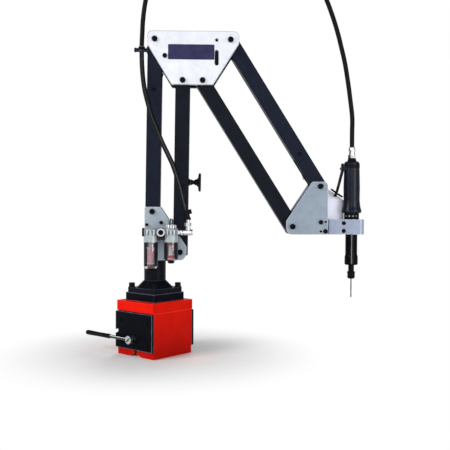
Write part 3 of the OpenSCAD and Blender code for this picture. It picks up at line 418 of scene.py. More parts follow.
guards = [guard_strip("%s_guard_%s" % (bowl, hand), middle, foot, side)
          for bowl, middle, foot in (("filter", FILTER, 213), ("lubricator", OILER, 229))
          for hand, side in (("left", -1), ("right", 1))]
RIBS = 12
HEAD_R, HEAD_RIB_H, HEAD_SHARE = 15.3, 1.6, 1.6
CAP_R, CAP_RIB_H, CAP_SHARE, CAP_FOOT = 10.6, 1.3, 1.3, 302


def ribs(radius, rise, share):
    """A ring's shape: 1 in the grooves and 1 + rise / radius on the ribs, wider for a larger share."""
    return lambda turn, height: 1 + rise / radius * np.clip(share + 2.8 * np.cos(RIBS * turn), 0, 1)


head_ribs, cap_ribs = ribs(HEAD_R, HEAD_RIB_H, HEAD_SHARE), ribs(CAP_R, CAP_RIB_H, CAP_SHARE)
rib_rows = [(HEAD_R - 0.6, 285.2), (HEAD_R, 285.2), (HEAD_R, 296.6), (HEAD_R - 0.6, 298.2),
            (HEAD_R - 1.2, 298.2)]
ribbed = [fit(turned(head + "_ribs", rib_rows, middle, UP, sides=168, ring=True, shape=head_ribs), head)
          for head, middle in (("filter_head", FILTER), ("lubricator_head", OILER))]
cap_rows = [(CAP_R - 0.5, CAP_FOOT), (CAP_R, CAP_FOOT), (CAP_R, 308), (CAP_R - 0.6, 309.1),
            (CAP_R - 1.4, 309.1)]
cap_grip = turned("oiler_cap_ribs", cap_rows, OILER, UP, sides=144, ring=True, shape=cap_ribs)
ribbed.append(fit(cap_grip, "lubricator_head"))
print("guards and ribs:", [piece.name for piece in (*guards, *ribbed)])

# %% [markdown]
# ### Burr, knob, pin heads and grip band
# The burr is a thin rod whose last 17 mm carry six spiral flutes: the radius dips with the cosine of six
# turns plus a twist along the height. The lock knob is a disc with ten finger lobes, and the pins that hold
# the balance springs show as low domes on the tubes. A rubber band goes round the grip, and a ring of felt
# round the exhaust.

# %% Burr and knob
TOOL = MM * np.array((475.0, 0.0, 0.0))
BURR_R, BURR_TIP, CUT_L = 1.6, 134.0, 17.0
CUT_TOP, SHANK_TOP = BURR_TIP + CUT_L, 199.0
FLUTES, TWIST_MM = 6, 22.0


def flutes(turn, z):
    """1 on the shank; on the cutting length, less by up to a fifth with a rounded cosine, which moves on by
    one flute in each TWIST_MM of height."""
    depth = 0.2 * np.clip((CUT_TOP - z) / 2.0, 0, 1)
    return 1 - depth * (0.5 - 0.5 * np.cos(FLUTES * turn + 2 * np.pi * z / TWIST_MM)) ** 0.7


burr_z = np.concatenate([np.linspace(BURR_TIP + 0.9, CUT_TOP, 60), [CUT_TOP + 1, SHANK_TOP]])
burr_rows = np.vstack([(0.3, BURR_TIP), (1.1, BURR_TIP), np.stack([np.full(len(burr_z), BURR_R), burr_z], 1)])
burr = fit(turned("burr_fluted", burr_rows, TOOL, UP, sides=72, shape=flutes), "burr", True)

KNOB_FOOT, KNOB_R, KNOB_LOBES = 20.9, 22.0, 10
DISC_FOOT = 18.5
STUD_ROWS = [(0.4, 6), (3.9, 6), (3.9, KNOB_FOOT)]
HEAD_ROWS = [(6.8, 0), (6.8, 4), (5.6, 5.6), (4.8, 7), (4.8, 9), (6, 10.8), (7.2, 12), (7.4, 14),
             (8.4, 16.4), (12, 18.9), (18.6, 19.8), (21, 20.3), (KNOB_R, 21.3), (KNOB_R, 24.6), (21, 25.6),
             (18, 26), (9, 25.4), (7.4, 24.6), (0.4, 24.6)]
knob_rows = np.vstack([STUD_ROWS, np.array(HEAD_ROWS) + (0, KNOB_FOOT)])
lean_axis = np.array((math.cos(LOWER_LEAN), 0, -math.sin(LOWER_LEAN)))


def lobes(turn, height):
    """1 on the stem; on the disc, less by up to a twelfth between the finger lobes."""
    disc = np.clip((height - KNOB_FOOT - DISC_FOOT) / 1.5, 0, 1)
    return 1 - 0.085 * disc * (0.5 - 0.5 * np.cos(KNOB_LOBES * turn)) ** 2


knob = turned("lock_knob_lobed", knob_rows, pivot["knob_turn"], lean_axis, sides=120, shape=lobes)
fit(knob, "lock_knob", True)
print(burr.name, round(2 * BURR_R, 1), "mm thick;", knob.name, 2 * KNOB_R, "mm across")

# %% Pin heads and grip band
PIN_ROWS = [(0.4, 18.1), (4.2, 18.1), (4.2, 18.5), (3.6, 18.9), (0.4, 19.0)]
heads = [fit(turned(arm + "_pin_head", PIN_ROWS, pin, FRONT, sides=40), arm + "_spring")
         for arm, pin in (("lower", lower_pin), ("upper", upper_pin))]
BAND_ROWS = [(17.2, 446.6), (18.6, 446.6), (19.05, 447.4), (19.05, 449.4), (18.8, 450), (18.8, 452.4),
             (19.05, 453), (19.05, 455), (18.6, 455.8), (17.2, 455.8)]
FELT_ROWS = [(15.1, 327), (16.6, 327), (16.6, 335), (15.1, 335)]
band = fit(turned("grip_band", BAND_ROWS, TOOL, UP, ring=True), "grinder_grip")
felt = fit(turned("exhaust_felt", FELT_ROWS, TOOL, UP, ring=True), "filter_element")
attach(felt, body_of["exhaust_collar"])
print([piece.name for piece in heads], band.name, felt.name)

# %% [markdown]
# ### Slot in the lever's hub
# The hub of the magnet lever ends in a screw with a broad slot. Cutting it would need a boolean; a dark bar
# with a rounded section, let into the face, gives the same look at a few faces. Its black is painted shade
# for the inside of the slot.

# %% Hub slot
BASE_TURN = math.radians(47.5)
HUB_FACE, HUB_HEIGHT = 86.0, 42.0
SLOT_HALF, SLOT_R, SLOT_SUNK, SLOT_TILT = 7.4, 1.5, 0.6, math.radians(40)
outward = np.array((-math.cos(BASE_TURN), -math.sin(BASE_TURN), 0))
level = np.array((math.sin(BASE_TURN), -math.cos(BASE_TURN), 0))
slot_way = math.cos(SLOT_TILT) * level + math.sin(SLOT_TILT) * np.array(UP)
hub_middle = MM * (np.array((0, 0, HUB_HEIGHT)) + (HUB_FACE - SLOT_SUNK) * outward)
slot_line = hub_middle + MM * np.outer(np.linspace(-SLOT_HALF, SLOT_HALF, 12), slot_way)
# The bar's black is painted shade for the inside of the slot.
slot_shade_bar = fit(skin("hub_slot_shade", sweep(slot_line, SLOT_R * MM, 16, outward)), "lever_hub")
print(slot_shade_bar.name, round(2 * SLOT_HALF, 1), "mm long")

# %% [markdown]
# ## Finishes
# Every finish starts from what the real one is: enamel over cast iron, anodised tube, black oxide on a
# screw. One helper adds a node and wires it; the patterns use Object coordinates, so their sizes are real
# millimetres.

# %% Node helper and colour
def linear(code):
    """An sRGB hex colour as linear red, green, blue and alpha: c/12.92 below 0.04045, else
    ((c+0.055)/1.055)^2.4."""
    c = np.array([int(code[k:k + 2], 16) / 255 for k in (1, 3, 5)])
    return (*np.where(c <= 0.04045, c / 12.92, ((c + 0.055) / 1.055) ** 2.4).tolist(), 1.0)


def add(tree, kind, inputs=None, **settings):
    """One shader node: settings are its properties, and inputs, by name or number, values or sockets."""
    node = tree.nodes.new("ShaderNode" + kind)
    for key, value in settings.items():
        setattr(node, key, value)
    for key, value in (inputs or {}).items():
        if isinstance(value, bpy.types.NodeSocket):
            tree.links.new(value, node.inputs[key])
        else:
            node.inputs[key].default_value = value
    return node


def start(name, **sockets):
    """A new material with its principled shader, those sockets set, and Object coordinates for patterns."""
    material = bpy.data.materials.new(name)
    material.use_nodes = True
    tree = material.node_tree
    shader = tree.nodes["Principled BSDF"]
    for key, value in sockets.items():
        shader.inputs[key.replace("_", " ")].default_value = value
    place = add(tree, "TexCoord").outputs["Object"]
    return material, tree, shader, place


def per_mm(size):
    """The texture scale at which one feature is about size millimetres wide, on coordinates in metres."""
    return 1000.0 / size


# %% [markdown]
# ### Patterns that finishes share
# Four things make a flat colour look like a made surface: it drifts in soft patches, its edges catch light
# or wear, its gloss is uneven, and a fine grain breaks up reflections. Small functions add them.

# %% Shared patterns
def mottle(tree, place, colour, shade, size):
    """A colour that drifts to a shade of itself in soft patches of that size in millimetres."""
    patches = add(tree, "TexNoise",
                  {"Vector": place, "Scale": per_mm(size), "Detail": 5.0, "Roughness": 0.62})
    share = add(tree, "MapRange", {"Value": patches.outputs[0], "From Min": 0.32, "From Max": 0.68})
    tone = add(tree, "Mix", {0: share.outputs[0], 6: linear(colour), 7: linear(shade)}, data_type="RGBA")
    return tone.outputs[2]


def laid_over(tree, below, share, colour):
    """Another colour laid over a colour socket, as far as share goes from 0 to 1."""
    return add(tree, "Mix", {0: share, 6: below, 7: linear(colour)}, data_type="RGBA").outputs[2]


# The mask for painted light along edges: a painted highlight where its colour is lighter, painted shade where it
# is darker.
def edge_line(tree, place, radius, patch, least):
    """1 along edges: the angle between the face's normal and one rounded over radius mm, broken up by noise
    of patch mm that leaves at least that share of the line."""
    rounded = add(tree, "Bevel", {"Radius": radius * MM}, samples=6)
    face = add(tree, "NewGeometry")
    lean = add(tree, "VectorMath", {0: rounded.outputs[0], 1: face.outputs["Normal"]},
               operation="DOT_PRODUCT")
    edge = add(tree, "MapRange", {"Value": lean.outputs["Value"], "From Min": 0.985, "From Max": 0.90})
    edge_breakup = add(tree, "TexNoise", {"Vector": place, "Scale": per_mm(patch), "Detail": 4.0, "Roughness": 0.65})
    keep = add(tree, "MapRange",
               {"Value": edge_breakup.outputs[0], "From Min": 0.35, "From Max": 0.65, "To Min": least})
    return add(tree, "Math", {0: edge.outputs[0], 1: keep.outputs[0]}, operation="MULTIPLY").outputs[0]


def above(tree, place, height, axis="Z"):
    """1 beyond a place in millimetres along an axis, upwards unless another is named, and 0 before it."""
    way = add(tree, "SeparateXYZ", {0: place}).outputs[axis]
    step = add(tree, "MapRange",
               {"Value": way, "From Min": (height - 1) * MM, "From Max": (height + 1) * MM})
    return step.outputs[0]


def grain(tree, shader, height, rough, spread, depth):
    """Lets one pattern give the roughness, spread evenly about a middle, and a bump of that strength."""
    dull = add(tree, "MapRange", {"Value": height, "To Min": rough - spread, "To Max": rough + spread})
    tree.links.new(dull.outputs[0], shader.inputs["Roughness"])
    bump = add(tree, "Bump", {"Strength": depth, "Distance": 0.0003, "Height": height})
    tree.links.new(bump.outputs[0], shader.inputs["Normal"])


# %% [markdown]
# ### Paints
# The base is sprayed with gloss red enamel, its end plates and the flange with satin black, and the post
# with gloss black. Sprayed enamel flows out into a fine orange peel about a millimetre wide and drifts a
# little in tone. It is painted darker towards the bench as painted shade, and a painted highlight draws a
# thin lighter line along its edges.

# %% Red and black enamel
def low_shade_share(tree, place, top):
    """How far painted shade lies on: most at the bench, none from a height of top mm, and broken up by noise."""
    z = add(tree, "SeparateXYZ", {0: place}).outputs["Z"]
    low = add(tree, "MapRange", {"Value": z, "From Min": top * MM, "From Max": 0.0, "To Max": 0.75})
    shade_breakup = add(tree, "TexNoise", {"Vector": place, "Scale": per_mm(30), "Detail": 6.0, "Roughness": 0.7})
    share = add(tree, "MapRange",
                {"Value": shade_breakup.outputs[0], "From Min": 0.3, "From Max": 0.7, "To Min": 0.6})
    return add(tree, "Math", {0: low.outputs[0], 1: share.outputs[0]}, operation="MULTIPLY").outputs[0]


def enamel(name, colour, shade, edge, rough, peel_mm, gloss, low_shade):
    """Sprayed enamel: colour drifting to shade over 40 mm, orange peel of peel_mm, painted shade towards the
    bench, and a painted highlight along the edges, broken up in patches."""
    material, tree, paint, place = start(name, Specular_IOR_Level=gloss)
    tone = mottle(tree, place, colour, shade, 40)
    # Painted shade darkens the enamel towards the bench.
    tone = laid_over(tree, tone, low_shade_share(tree, place, 110), low_shade)
    # A painted highlight runs along the edges, broken up in patches.
    edge_highlit = laid_over(tree, tone, edge_line(tree, place, 2.2, 7, 0.35), edge)
    tree.links.new(edge_highlit, paint.inputs["Base Color"])
    peel = add(tree, "TexNoise", {"Vector": place, "Scale": per_mm(peel_mm), "Detail": 3.0})
    grain(tree, paint, peel.outputs[0], rough, 0.1, 0.1)
    return material


# Each enamel's third colour is its painted edge highlight, and its last is the painted shade towards the bench.
red_paint = enamel("red gloss enamel", "#F31A06", "#E81505", "#F8614A", 0.34, 1.6, 0.04, "#8E0803")
black_paint = enamel("black satin enamel", "#08090F", "#0E1019", "#A5AAC8", 0.40, 1.3, 0.03, "#060709")
post_paint = enamel("black gloss enamel", "#0A0D14", "#11141C", "#5A607A", 0.30, 1.3, 0.05, "#08090D")
print(len(bpy.data.materials), "finishes")

# %% [markdown]
# ### Anodised and bare aluminium
# The arm tubes and the grinder are black anodised: a thin matt oxide that follows the drawing lines of the
# extrusion. The elbow's plates are satin, those of the yoke and the head anodised grey. All are ground in
# one direction, so the sheen is drawn out along fine lines. Their edges carry painted light: a lighter line
# as a painted highlight on the grey plates and the foil, and a darker line as painted shade on the satin
# plates, the tubes and the grip. The rear elbow plate has painted shade on the face that looks to the front.
# The blank name plate is dark foil, brushed in the same manner.

# %% Aluminium finishes
def drawn_metal(name, colour, shade, rim, rim_mm, metallic, rough, line_mm, stretch, gloss=0.5, inner=None):
    """Metal with fine parallel lines: noise about line_mm wide, drawn out along the axis whose stretch is
    small, over a colour that drifts to shade in patches of 26 mm, with painted light of the rim colour along
    the edges, rim_mm wide. A plate may have painted shade of another colour on its inner face, which is
    the one that looks to the front."""
    material, tree, metal, place = start(name, Metallic=metallic, Specular_IOR_Level=gloss)
    lay = add(tree, "Mapping", {"Vector": place, "Scale": stretch})
    lines = add(tree, "TexNoise",
                {"Vector": lay.outputs[0], "Scale": per_mm(line_mm), "Detail": 3.0, "Roughness": 0.6})
    tone = mottle(tree, place, colour, shade, 26)
    soft = add(tree, "MapRange", {"Value": lines.outputs[0], "To Min": 0.0, "To Max": 0.5})
    lined = laid_over(tree, tone, soft.outputs[0], shade)
    tone = laid_over(tree, lined, edge_line(tree, place, rim_mm, 9, 0.5), rim)
    # Painted shade on the face that looks to the front.
    if inner:
        facing = add(tree, "SeparateXYZ", {0: add(tree, "TexCoord").outputs["Normal"]}).outputs["Y"]
        front = add(tree, "MapRange", {"Value": facing, "From Min": -0.3, "From Max": -0.6})
        tone = laid_over(tree, tone, front.outputs[0], inner)
    tree.links.new(tone, metal.inputs["Base Color"])
    grain(tree, metal, lines.outputs[0], rough, 0.1, 0.1)
    return material


# The third colour of each finish below is painted light along its edges: a painted highlight where it is lighter,
# painted shade where it is darker.
SATIN = ("#F3F5F8", "#E0E3ED", "#8A8F9C", 4.0, 0.2, 0.44, 0.9, (0.05, 1, 1))
silver_plate = drawn_metal("satin ground aluminium", *SATIN)
# The inner colour is painted shade on the face of the rear elbow plate that looks to the front.
inner_shaded_plate = drawn_metal("satin aluminium with painted shade on its inner face", *SATIN, inner="#07080B")
GREY = (3.0, 0.2, 0.45, 1.1, (1, 1, 0.06))
yoke_grey = drawn_metal("grey anodised yoke plate", "#A8B4BE", "#98A5B1", "#D8DEE4", *GREY)
head_grey = drawn_metal("grey anodised head plate", "#94A2B0", "#8592A1", "#CBD3DB", *GREY)
TUBE = (3.4, 0.0, 0.42, 0.8, (1, 1, 0.02), 0.06)
outer_tube = drawn_metal("black anodised outer tube", "#1E2436", "#161B29", "#05070B", *TUBE)
inner_tube = drawn_metal("black anodised inner tube", "#171C27", "#10141C", "#040508", *TUBE)
label_foil = drawn_metal("dark label foil", "#3E3D64", "#2C2B4D", "#62628A", 1.0, 0.0, 0.42, 0.9,
                         (0.04, 1, 1), 0.1)
grip_black = drawn_metal("black anodised grip", "#191C2E", "#101322", "#07080D", 0.8, 0.0, 0.30, 0.7,
                         (1, 1, 0.1), 0.15)
# Past CLAMP_END_HIGHLIGHT, the clamp's rounded end gets a painted highlight.
WEB_FOOT, CLAMP_END_HIGHLIGHT = 323, 492


def milled_clamp():
    """Milled aluminium: the clamp is darker from its cutter, with a painted highlight on its rounded end and
    along its edges, and the web above WEB_FOOT is a pale ground face, painted lighter still against its shade."""
    material, tree, metal, place = start("milled clamp aluminium", Metallic=0.3)
    tone = mottle(tree, place, "#98A3BA", "#8690A6", 14)
    # The web's pale colour is partly its own and partly painted light against its shade.
    tone = laid_over(tree, tone, above(tree, place, WEB_FOOT), "#EFF1FF")
    # A painted highlight on the clamp's rounded end.
    tone = laid_over(tree, tone, above(tree, place, CLAMP_END_HIGHLIGHT, "X"), "#A9B2C7")
    # A painted highlight along the edges.
    tone = laid_over(tree, tone, edge_line(tree, place, 1.2, 8, 0.4), "#C3C9D8")
    tree.links.new(tone, metal.inputs["Base Color"])
    cuts = add(tree, "TexNoise", {"Vector": place, "Scale": per_mm(2.5), "Detail": 4.0})
    grain(tree, metal, cuts.outputs[0], 0.45, 0.08, 0.06)
    return material


clamp_metal = milled_clamp()
print(len(bpy.data.materials), "finishes")

# %% [markdown]
# ### Steels, bronze, zinc and chrome
# Screws, springs and the grinder's levers are black oxide, the magnet lever is an oiled black rod in a
# bright ground hub, the burr is a darker tool steel, the hose fittings are chrome plate, the bushes are
# turned bronze, and the heads of the air unit are die-cast zinc with a grained skin, under a paler ribbed
# cap on the lubricator, with painted shade in the grooves of their ribs. The guards are zinc passivated
# black, and the manifold has the same black as painted shade in the gaps between the heads.

# %% Other metals
def groove_shade_share(tree):
    """1 where painted shade goes, in the grooves of a ribbed ring: where the cosine of RIBS turns of the surface's
    own map is low.
    """
    turn = add(tree, "SeparateXYZ", {0: add(tree, "TexCoord").outputs["UV"]}).outputs["X"]
    angle = add(tree, "Math", {0: turn, 1: 2 * math.pi * RIBS}, operation="MULTIPLY")
    wave = add(tree, "Math", {0: angle.outputs[0]}, operation="COSINE")
    return add(tree, "MapRange", {"Value": wave.outputs[0], "From Min": -0.35, "From Max": -0.75}).outputs[0]


def cast_or_turned(name, colour, shade, rough, metallic, grain_mm, depth, gloss=0.5, cap=None, groove_shade=None):
    """Metal with an even grain of grain_mm whose colour drifts to shade over 12 mm. A cap is a height and
    the colour above it, and the colour for grooves is painted shade between ribs."""
    material, tree, metal, place = start(name, Metallic=metallic, Specular_IOR_Level=gloss)
    tone = mottle(tree, place, colour, shade, 12)
    if cap:
        tone = laid_over(tree, tone, above(tree, place, cap[0]), cap[1])
    if groove_shade:
        # Painted shade in the grooves between ribs.
        tone = laid_over(tree, tone, groove_shade_share(tree), groove_shade)
    tree.links.new(tone, metal.inputs["Base Color"])
    fine = add(tree, "TexNoise", {"Vector": place, "Scale": per_mm(grain_mm), "Detail": 3.0})
    grain(tree, metal, fine.outputs[0], rough, 0.08, depth)
    return material


black_steel = cast_or_turned("black oxide steel", "#0B0C0F", "#131418", 0.36, 0.0, 0.6, 0.12, 0.05)
oiled_steel = cast_or_turned("oiled black steel", "#0B0C0F", "#131418", 0.16, 0.0, 2.0, 0.03, 0.5)
nose_black = cast_or_turned("black anodised nose", "#05060A", "#090A0F", 0.12, 0.0, 2.0, 0.02, 0.04)
# On the guards this is black zinc; on the manifold the same black is painted shade in the gaps between the heads
# of the air unit.
black_zinc_and_gap_shade = cast_or_turned("black passivated zinc and painted gap shade", "#101115", "#191B20", 0.4, 0.0, 0.8, 0.15, 0.15)
bright_steel = cast_or_turned("bright ground steel", "#CDD0D4", "#B0B4B9", 0.26, 1.0, 0.5, 0.06)
tool_steel = cast_or_turned("ground tool steel", "#6E7176", "#54575C", 0.34, 0.9, 0.4, 0.06)
chrome = cast_or_turned("chrome plate", "#E3E5E8", "#CDD0D4", 0.09, 1.0, 2.5, 0.02)
bronze = cast_or_turned("turned bronze", "#B08445", "#8A6430", 0.32, 1.0, 0.6, 0.08)
ZINC = ("#B9C2C7", "#9BA5AA", 0.40, 0.3, 0.8, 0.2)
zinc = cast_or_turned("die-cast zinc", *ZINC, cap=(CAP_FOOT, "#E2E4E2"))
# Its last colour is painted shade between the ribs.
ribbed_zinc = cast_or_turned("ribbed die-cast zinc", *ZINC, cap=(CAP_FOOT, "#E6E8E6"), groove_shade="#2A2F33")
magnet_iron = cast_or_turned("magnet core iron", "#6A6E73", "#4E5257", 0.45, 1.0, 0.9, 0.2)
print(len(bpy.data.materials), "finishes")

# %% [markdown]
# ### Rubber and plastics
# The hose is extruded rubber, the knob and grips are moulded with a fine grain, and the bowls are clear
# polycarbonate that has gone a little pink with age. The filter element has a pinker middle and the pickup
# tube two red seals. Each is a band of height in one finish.

# %% Soft and clear finishes
def moulded(name, colour, shade, rough, grain_mm, depth, gloss=0.2, patch=18, bands=()):
    """Moulded rubber or plastic: a fine cell grain of grain_mm under a bloom that drifts over patch mm.
    Each band is its lower and upper height in mm and the colour between them."""
    material, tree, body, place = start(name, Specular_IOR_Level=gloss)
    tone = mottle(tree, place, colour, shade, patch)
    for low, high, band in bands:
        past = add(tree, "Math", {0: 1.0, 1: above(tree, place, high)}, operation="SUBTRACT").outputs[0]
        inside = add(tree, "Math", {0: above(tree, place, low), 1: past}, operation="MULTIPLY").outputs[0]
        tone = laid_over(tree, tone, inside, band)
    tree.links.new(tone, body.inputs["Base Color"])
    cells = add(tree, "TexVoronoi", {"Vector": place, "Scale": per_mm(grain_mm)})
    grain(tree, body, cells.outputs["Distance"], rough, 0.1, depth)
    return material


rubber = moulded("black extruded rubber", "#0A0B0E", "#111317", 0.44, 0.9, 0.10, gloss=0.08)
plastic = moulded("black moulded plastic", "#0B0C10", "#121418", 0.38, 0.7, 0.12, gloss=0.1)
PINK_MIDDLE = [(220, 252, "#C29AA4")]
RED_SEALS = [(232, 239, "#A81F33"), (262, 268, "#7E1C2A")]
sintered = moulded("sintered filter", "#CDCBCB", "#B9B4B5", 0.8, 0.8, 0.5, patch=8, bands=PINK_MIDDLE)
pickup_tube = moulded("moulded pickup tube", "#C6C7C1", "#B0B1AB", 0.5, 1.2, 0.1, patch=8, bands=RED_SEALS)
felt_grey = moulded("exhaust felt", "#C9CBCE", "#A6A9AE", 0.9, 0.6, 0.5)


def clear_plastic(name, tint):
    """Clear moulded polycarbonate: full transmission at its own index, with faint flow lines in the gloss."""
    material, tree, body, place = start(name, Roughness=0.04, IOR=1.58, Transmission_Weight=1.0)
    body.inputs["Base Color"].default_value = linear(tint)
    flow = add(tree, "TexNoise", {"Vector": place, "Scale": per_mm(9), "Detail": 2.0})
    bump = add(tree, "Bump", {"Strength": 0.06, "Distance": 0.0004, "Height": flow.outputs[0]})
    tree.links.new(bump.outputs[0], body.inputs["Normal"])
    return material


polycarbonate = clear_plastic("clear polycarbonate", "#DCD0D6")
sight_plastic = clear_plastic("grey tinted polycarbonate", "#B4C0BE")
print(len(bpy.data.materials), "finishes")

# %% Give every piece its finish
FINISH_OF_SLOT = {
    "red_enamel": red_paint, "black_enamel": black_paint, "black_oxide_steel": black_steel,
    "bright_steel": bright_steel, "chrome_plate": chrome, "grey_anodised": yoke_grey,
    "black_anodised": inner_tube, "satin_aluminium": silver_plate, "label_film": label_foil,
    "bronze": bronze, "die_cast_zinc": zinc, "clear_polycarbonate": polycarbonate,
    "sintered_filter": sintered, "black_rubber": rubber, "black_plastic": plastic}
FINISH_OF_NODE = {
    "tool_bracket": clamp_metal, "grinder_grip": grip_black, "nose_housing": nose_black,
    "magnet_core": magnet_iron, "hose_peg": black_paint, "post": post_paint, "burr": tool_steel,
    "sight_dome": sight_plastic, "head_plate_front": head_grey, "head_plate_rear": head_grey,
    "elbow_plate_rear": inner_shaded_plate, "lower_outer_tube": outer_tube, "upper_outer_tube": outer_tube,
    # The manifold's black is painted shade in the gaps between the heads.
    "lever_rod": oiled_steel, "frl_manifold": black_zinc_and_gap_shade}
FINISH_OF_PIECE = {
    "drip_tube": chrome, "oil_pickup_tube": pickup_tube, "port_ring": chrome, "inlet_ring": plastic,
    "grip_band": rubber, "oil_drain_knob": plastic, "port_plug": black_steel, "hub_slot_shade": black_steel,
    "exhaust_felt": felt_grey}
FINISH_OF_PIECE |= {piece.name: black_zinc_and_gap_shade for piece in guards}
FINISH_OF_PIECE |= {piece.name: ribbed_zinc for piece in ribbed}


def dress(piece, node=None):
    """Puts a piece's own finish, its solid's or its slot's on it, as its only material."""
    own = FINISH_OF_PIECE.get(piece.name) or FINISH_OF_NODE.get(node)
    piece.data.materials.clear()
    piece.data.materials.append(own or FINISH_OF_SLOT[slot_of[node] if node else piece["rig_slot"]])


for node, solid in nodes.items():
    dress(solid, node)
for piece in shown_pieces():
    if "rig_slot" in piece:
        dress(piece, next(iter(piece.get("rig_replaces", [])), None))
# Light has to reach what is inside the bowls, so the clear pieces and their guards cast no shadow.
for piece in (*glass, dome, *guards):
    piece.visible_shadow = False
print(len(FINISH_OF_PIECE), "own finishes")

# %% [markdown]
# ## Floor and light
# A product shot on white: a pale floor that keeps a soft shadow near the base and fades into the white
# behind, one large soft light from the left front, weaker ones from the right and behind, a narrow strip
# that draws a line down round black parts, and an even sky. Three more lamps are linked to one piece each,
# and draw a bright line on the nose, the hose's riser and the lever's rod. As in a studio, dark flags at
# the sides, above and behind are seen only by reflections and through glass, so that bright metal and clear
# bowls keep a dark outline on the white.

# %% Floor
FLOOR_HALF, FLOOR_DROP, FADE_FROM, FADE_TO = 8.0, 0.0003, 0.12, 0.42


def seen(tree):
    """The kinds of ray, and 1 for those the eye follows: from the camera, off gloss and through glass."""
    path = add(tree, "LightPath").outputs
    direct = add(tree, "Math", {0: path["Is Camera Ray"], 1: path["Is Glossy Ray"]}, operation="MAXIMUM")
    eye = add(tree, "Math", {0: direct.outputs[0], 1: path["Is Transmission Ray"]}, operation="MAXIMUM")
    return path, eye.outputs[0]


def white_stage():
    """A wide pale floor: diffuse near the object, fading to plain white for the eye further out."""
    floor_mesh = bpy.data.meshes.new("floor")
    corners = np.array([(-1, -1, 0), (1, -1, 0), (1, 1, 0), (-1, 1, 0)]) * FLOOR_HALF - (0, 0, FLOOR_DROP)
    floor_mesh.from_pydata(corners.tolist(), [], [(0, 1, 2, 3)])
    floor = bpy.data.objects.new("floor", floor_mesh)
    bpy.context.scene.collection.objects.link(floor)
    material, tree, matt, place = start("pale floor", Roughness=0.9, Specular_IOR_Level=0.0)
    matt.inputs["Base Color"].default_value = linear("#F2F2F2")
    white = add(tree, "Emission", {"Strength": 1.0})
    far = add(tree, "VectorMath", {0: place}, operation="LENGTH")
    fade = add(tree, "MapRange", {"Value": far.outputs["Value"], "From Min": FADE_FROM, "From Max": FADE_TO},
               interpolation_type="SMOOTHSTEP")
    share = add(tree, "Math", {0: fade.outputs[0], 1: seen(tree)[1]}, operation="MULTIPLY")
    mix = add(tree, "MixShader", {0: share.outputs[0], 1: matt.outputs[0], 2: white.outputs[0]})
    tree.links.new(mix.outputs[0], tree.nodes["Material Output"].inputs["Surface"])
    floor_mesh.materials.append(material)


white_stage()
print("floor", 2 * FLOOR_HALF, "m wide")

# %% World with flags
FLAG_LEVEL, SKY = 0.06, 0.35
SIDE_FLAGS = ((0.32, 0.42, 0.60, 0.68), (0.84, 0.90, 0.97, 1.0))
TOP_FLAGS = ((0.30, 0.42, 0.62, 0.72), (0.84, 0.90, 1.0, 1.1))
SIDE_END, BEHIND, RAISED, BENT = (0.75, 0.5), (0.1, 0.3), (0.1, 0.22), (0.16, 0.3)


def flags(tree, value, limits):
    """The darkest flag: each rises from 0 to 1 between its first two limits and falls between the others."""
    dark = None
    for rise, full, hold, fall in limits:
        into = add(tree, "MapRange", {"Value": value, "From Min": rise, "From Max": full})
        out = add(tree, "MapRange", {"Value": value, "From Min": fall, "From Max": hold})
        band = add(tree, "Math", {0: into.outputs[0], 1: out.outputs[0]}, operation="MINIMUM").outputs[0]
        dark = band if dark is None else add(tree, "Math", {0: dark, 1: band}, operation="MAXIMUM").outputs[0]
    return dark


def white_world(sky):
    """White to the camera, to reflections and through glass, and an even sky of that strength to all other
    light. Side flags darken reflections by the share of x in their level direction, top flags by the share
    of z, one more all that rises or falls behind the object, and a ray that glass has bent far to the side
    always meets a flag."""
    world = bpy.data.worlds.new("white studio")
    bpy.context.scene.world = world
    world.use_nodes = True
    tree = world.node_tree
    ground = tree.nodes["Background"]
    ground.inputs["Color"].default_value = (1, 1, 1, 1)
    way = add(tree, "SeparateXYZ", {0: add(tree, "TexCoord").outputs["Generated"]})
    flat = add(tree, "CombineXYZ", {"X": way.outputs["X"], "Y": way.outputs["Y"]})
    level_way = add(tree, "VectorMath", {0: flat.outputs[0]}, operation="NORMALIZE")
    level_x = add(tree, "SeparateXYZ", {0: level_way.outputs[0]}).outputs["X"]
    side = add(tree, "Math", {0: level_x}, operation="ABSOLUTE")
    steep = add(tree, "Math", {0: way.outputs["Z"]}, operation="ABSOLUTE")
    low = add(tree, "MapRange", {"Value": steep.outputs[0], "From Min": SIDE_END[0], "From Max": SIDE_END[1]})
    beside, over = flags(tree, side.outputs[0], SIDE_FLAGS), flags(tree, steep.outputs[0], TOP_FLAGS)
    sides = add(tree, "Math", {0: beside, 1: low.outputs[0]}, operation="MULTIPLY")
    behind = add(tree, "MapRange", {"Value": way.outputs["Y"], "From Min": BEHIND[0], "From Max": BEHIND[1]})
    raised = add(tree, "MapRange", {"Value": steep.outputs[0], "From Min": RAISED[0], "From Max": RAISED[1]})
    back = add(tree, "Math", {0: behind.outputs[0], 1: raised.outputs[0]}, operation="MULTIPLY")
    path, eye = seen(tree)
    bent = add(tree, "MapRange", {"Value": side.outputs[0], "From Min": BENT[0], "From Max": BENT[1]})
    bent = add(tree, "Math", {0: bent.outputs[0], 1: path["Is Transmission Ray"]}, operation="MULTIPLY")
    dark = sides.outputs[0]
    for more in (over, back.outputs[0], bent.outputs[0]):
        dark = add(tree, "Math", {0: dark, 1: more}, operation="MAXIMUM").outputs[0]
    mirrored = add(tree, "Math", {0: 1.0, 1: path["Is Camera Ray"]}, operation="SUBTRACT")
    shade = add(tree, "Math", {0: dark, 1: mirrored.outputs[0]}, operation="MULTIPLY")
    bright = add(tree, "MapRange", {"Value": shade.outputs[0], "To Min": 1.0, "To Max": FLAG_LEVEL})
    level = add(tree, "Mix", {0: eye, 2: sky, 3: bright.outputs[0]}, data_type="FLOAT")
    tree.links.new(level.outputs[0], ground.inputs["Strength"])


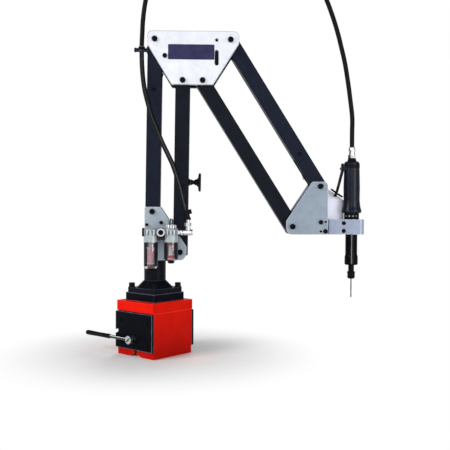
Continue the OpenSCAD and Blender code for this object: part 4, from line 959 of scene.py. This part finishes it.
white_world(SKY)
print("sky", SKY, "and flags", FLAG_LEVEL)

# %% Lamps
def softbox(name, at, aim, width, height, watts, matt=True, gloss=True, only_on=()):
    """A rectangular area lamp at one point, turned so that its face looks at another. It lights matt
    surfaces, is seen in gloss, or both, and one with a list of pieces is linked to those alone."""
    lamp = bpy.data.lights.new(name, "AREA")
    lamp.shape = "RECTANGLE"
    lamp.energy = watts
    lamp.size = width
    lamp.size_y = height
    box = bpy.data.objects.new(name, lamp)
    box.visible_diffuse, box.visible_glossy = matt, gloss
    if only_on:
        box.light_linking.receiver_collection = bpy.data.collections.new(name + " receivers")
        for piece in only_on:
            box.light_linking.receiver_collection.objects.link(piece)
    back = np.array(at, float) - np.array(aim, float)
    back /= np.linalg.norm(back)
    side = np.cross((0, 0, 1), back)
    side /= np.linalg.norm(side)
    turned_to = np.vstack([np.column_stack([side, np.cross(back, side), back, at]), (0, 0, 0, 1)])
    box.matrix_world = Matrix(turned_to.tolist())
    bpy.context.scene.collection.objects.link(box)


AIM, ROD_AIM = (0.2, 0.0, 0.45), (-0.1, 0.0, 0.05)
LINE_AT, ROD_LINE_AT = (0.3, -1.9, 0.5), (-1.585, 0.756, 1.34)
softbox("key", (-2.3, -1.5, 1.7), AIM, 1.4, 1.4, 53)
softbox("fill", (2.2, -1.8, 1.0), AIM, 1.2, 1.2, 12)
softbox("front", (0.0, -2.3, 0.9), AIM, 1.0, 1.0, 7)
softbox("back", (0.6, 2.2, 1.8), AIM, 1.4, 1.4, 20, gloss=False)
softbox("strip", (1.55, -1.9, 0.55), AIM, 0.4, 1.6, 20, matt=False)
softbox("line", LINE_AT, AIM, 0.7, 1.8, 240, matt=False, only_on=[finished["nose_housing"]])
softbox("hose line", LINE_AT, AIM, 0.7, 1.8, 130, matt=False, only_on=hose_pieces[:1])
softbox("rod line", ROD_LINE_AT, ROD_AIM, 0.7, 0.7, 30, matt=False, only_on=[finished["lever_rod"]])
bpy.context.scene.view_settings.view_transform = "Standard"
print(len(bpy.data.lights), "lamps")
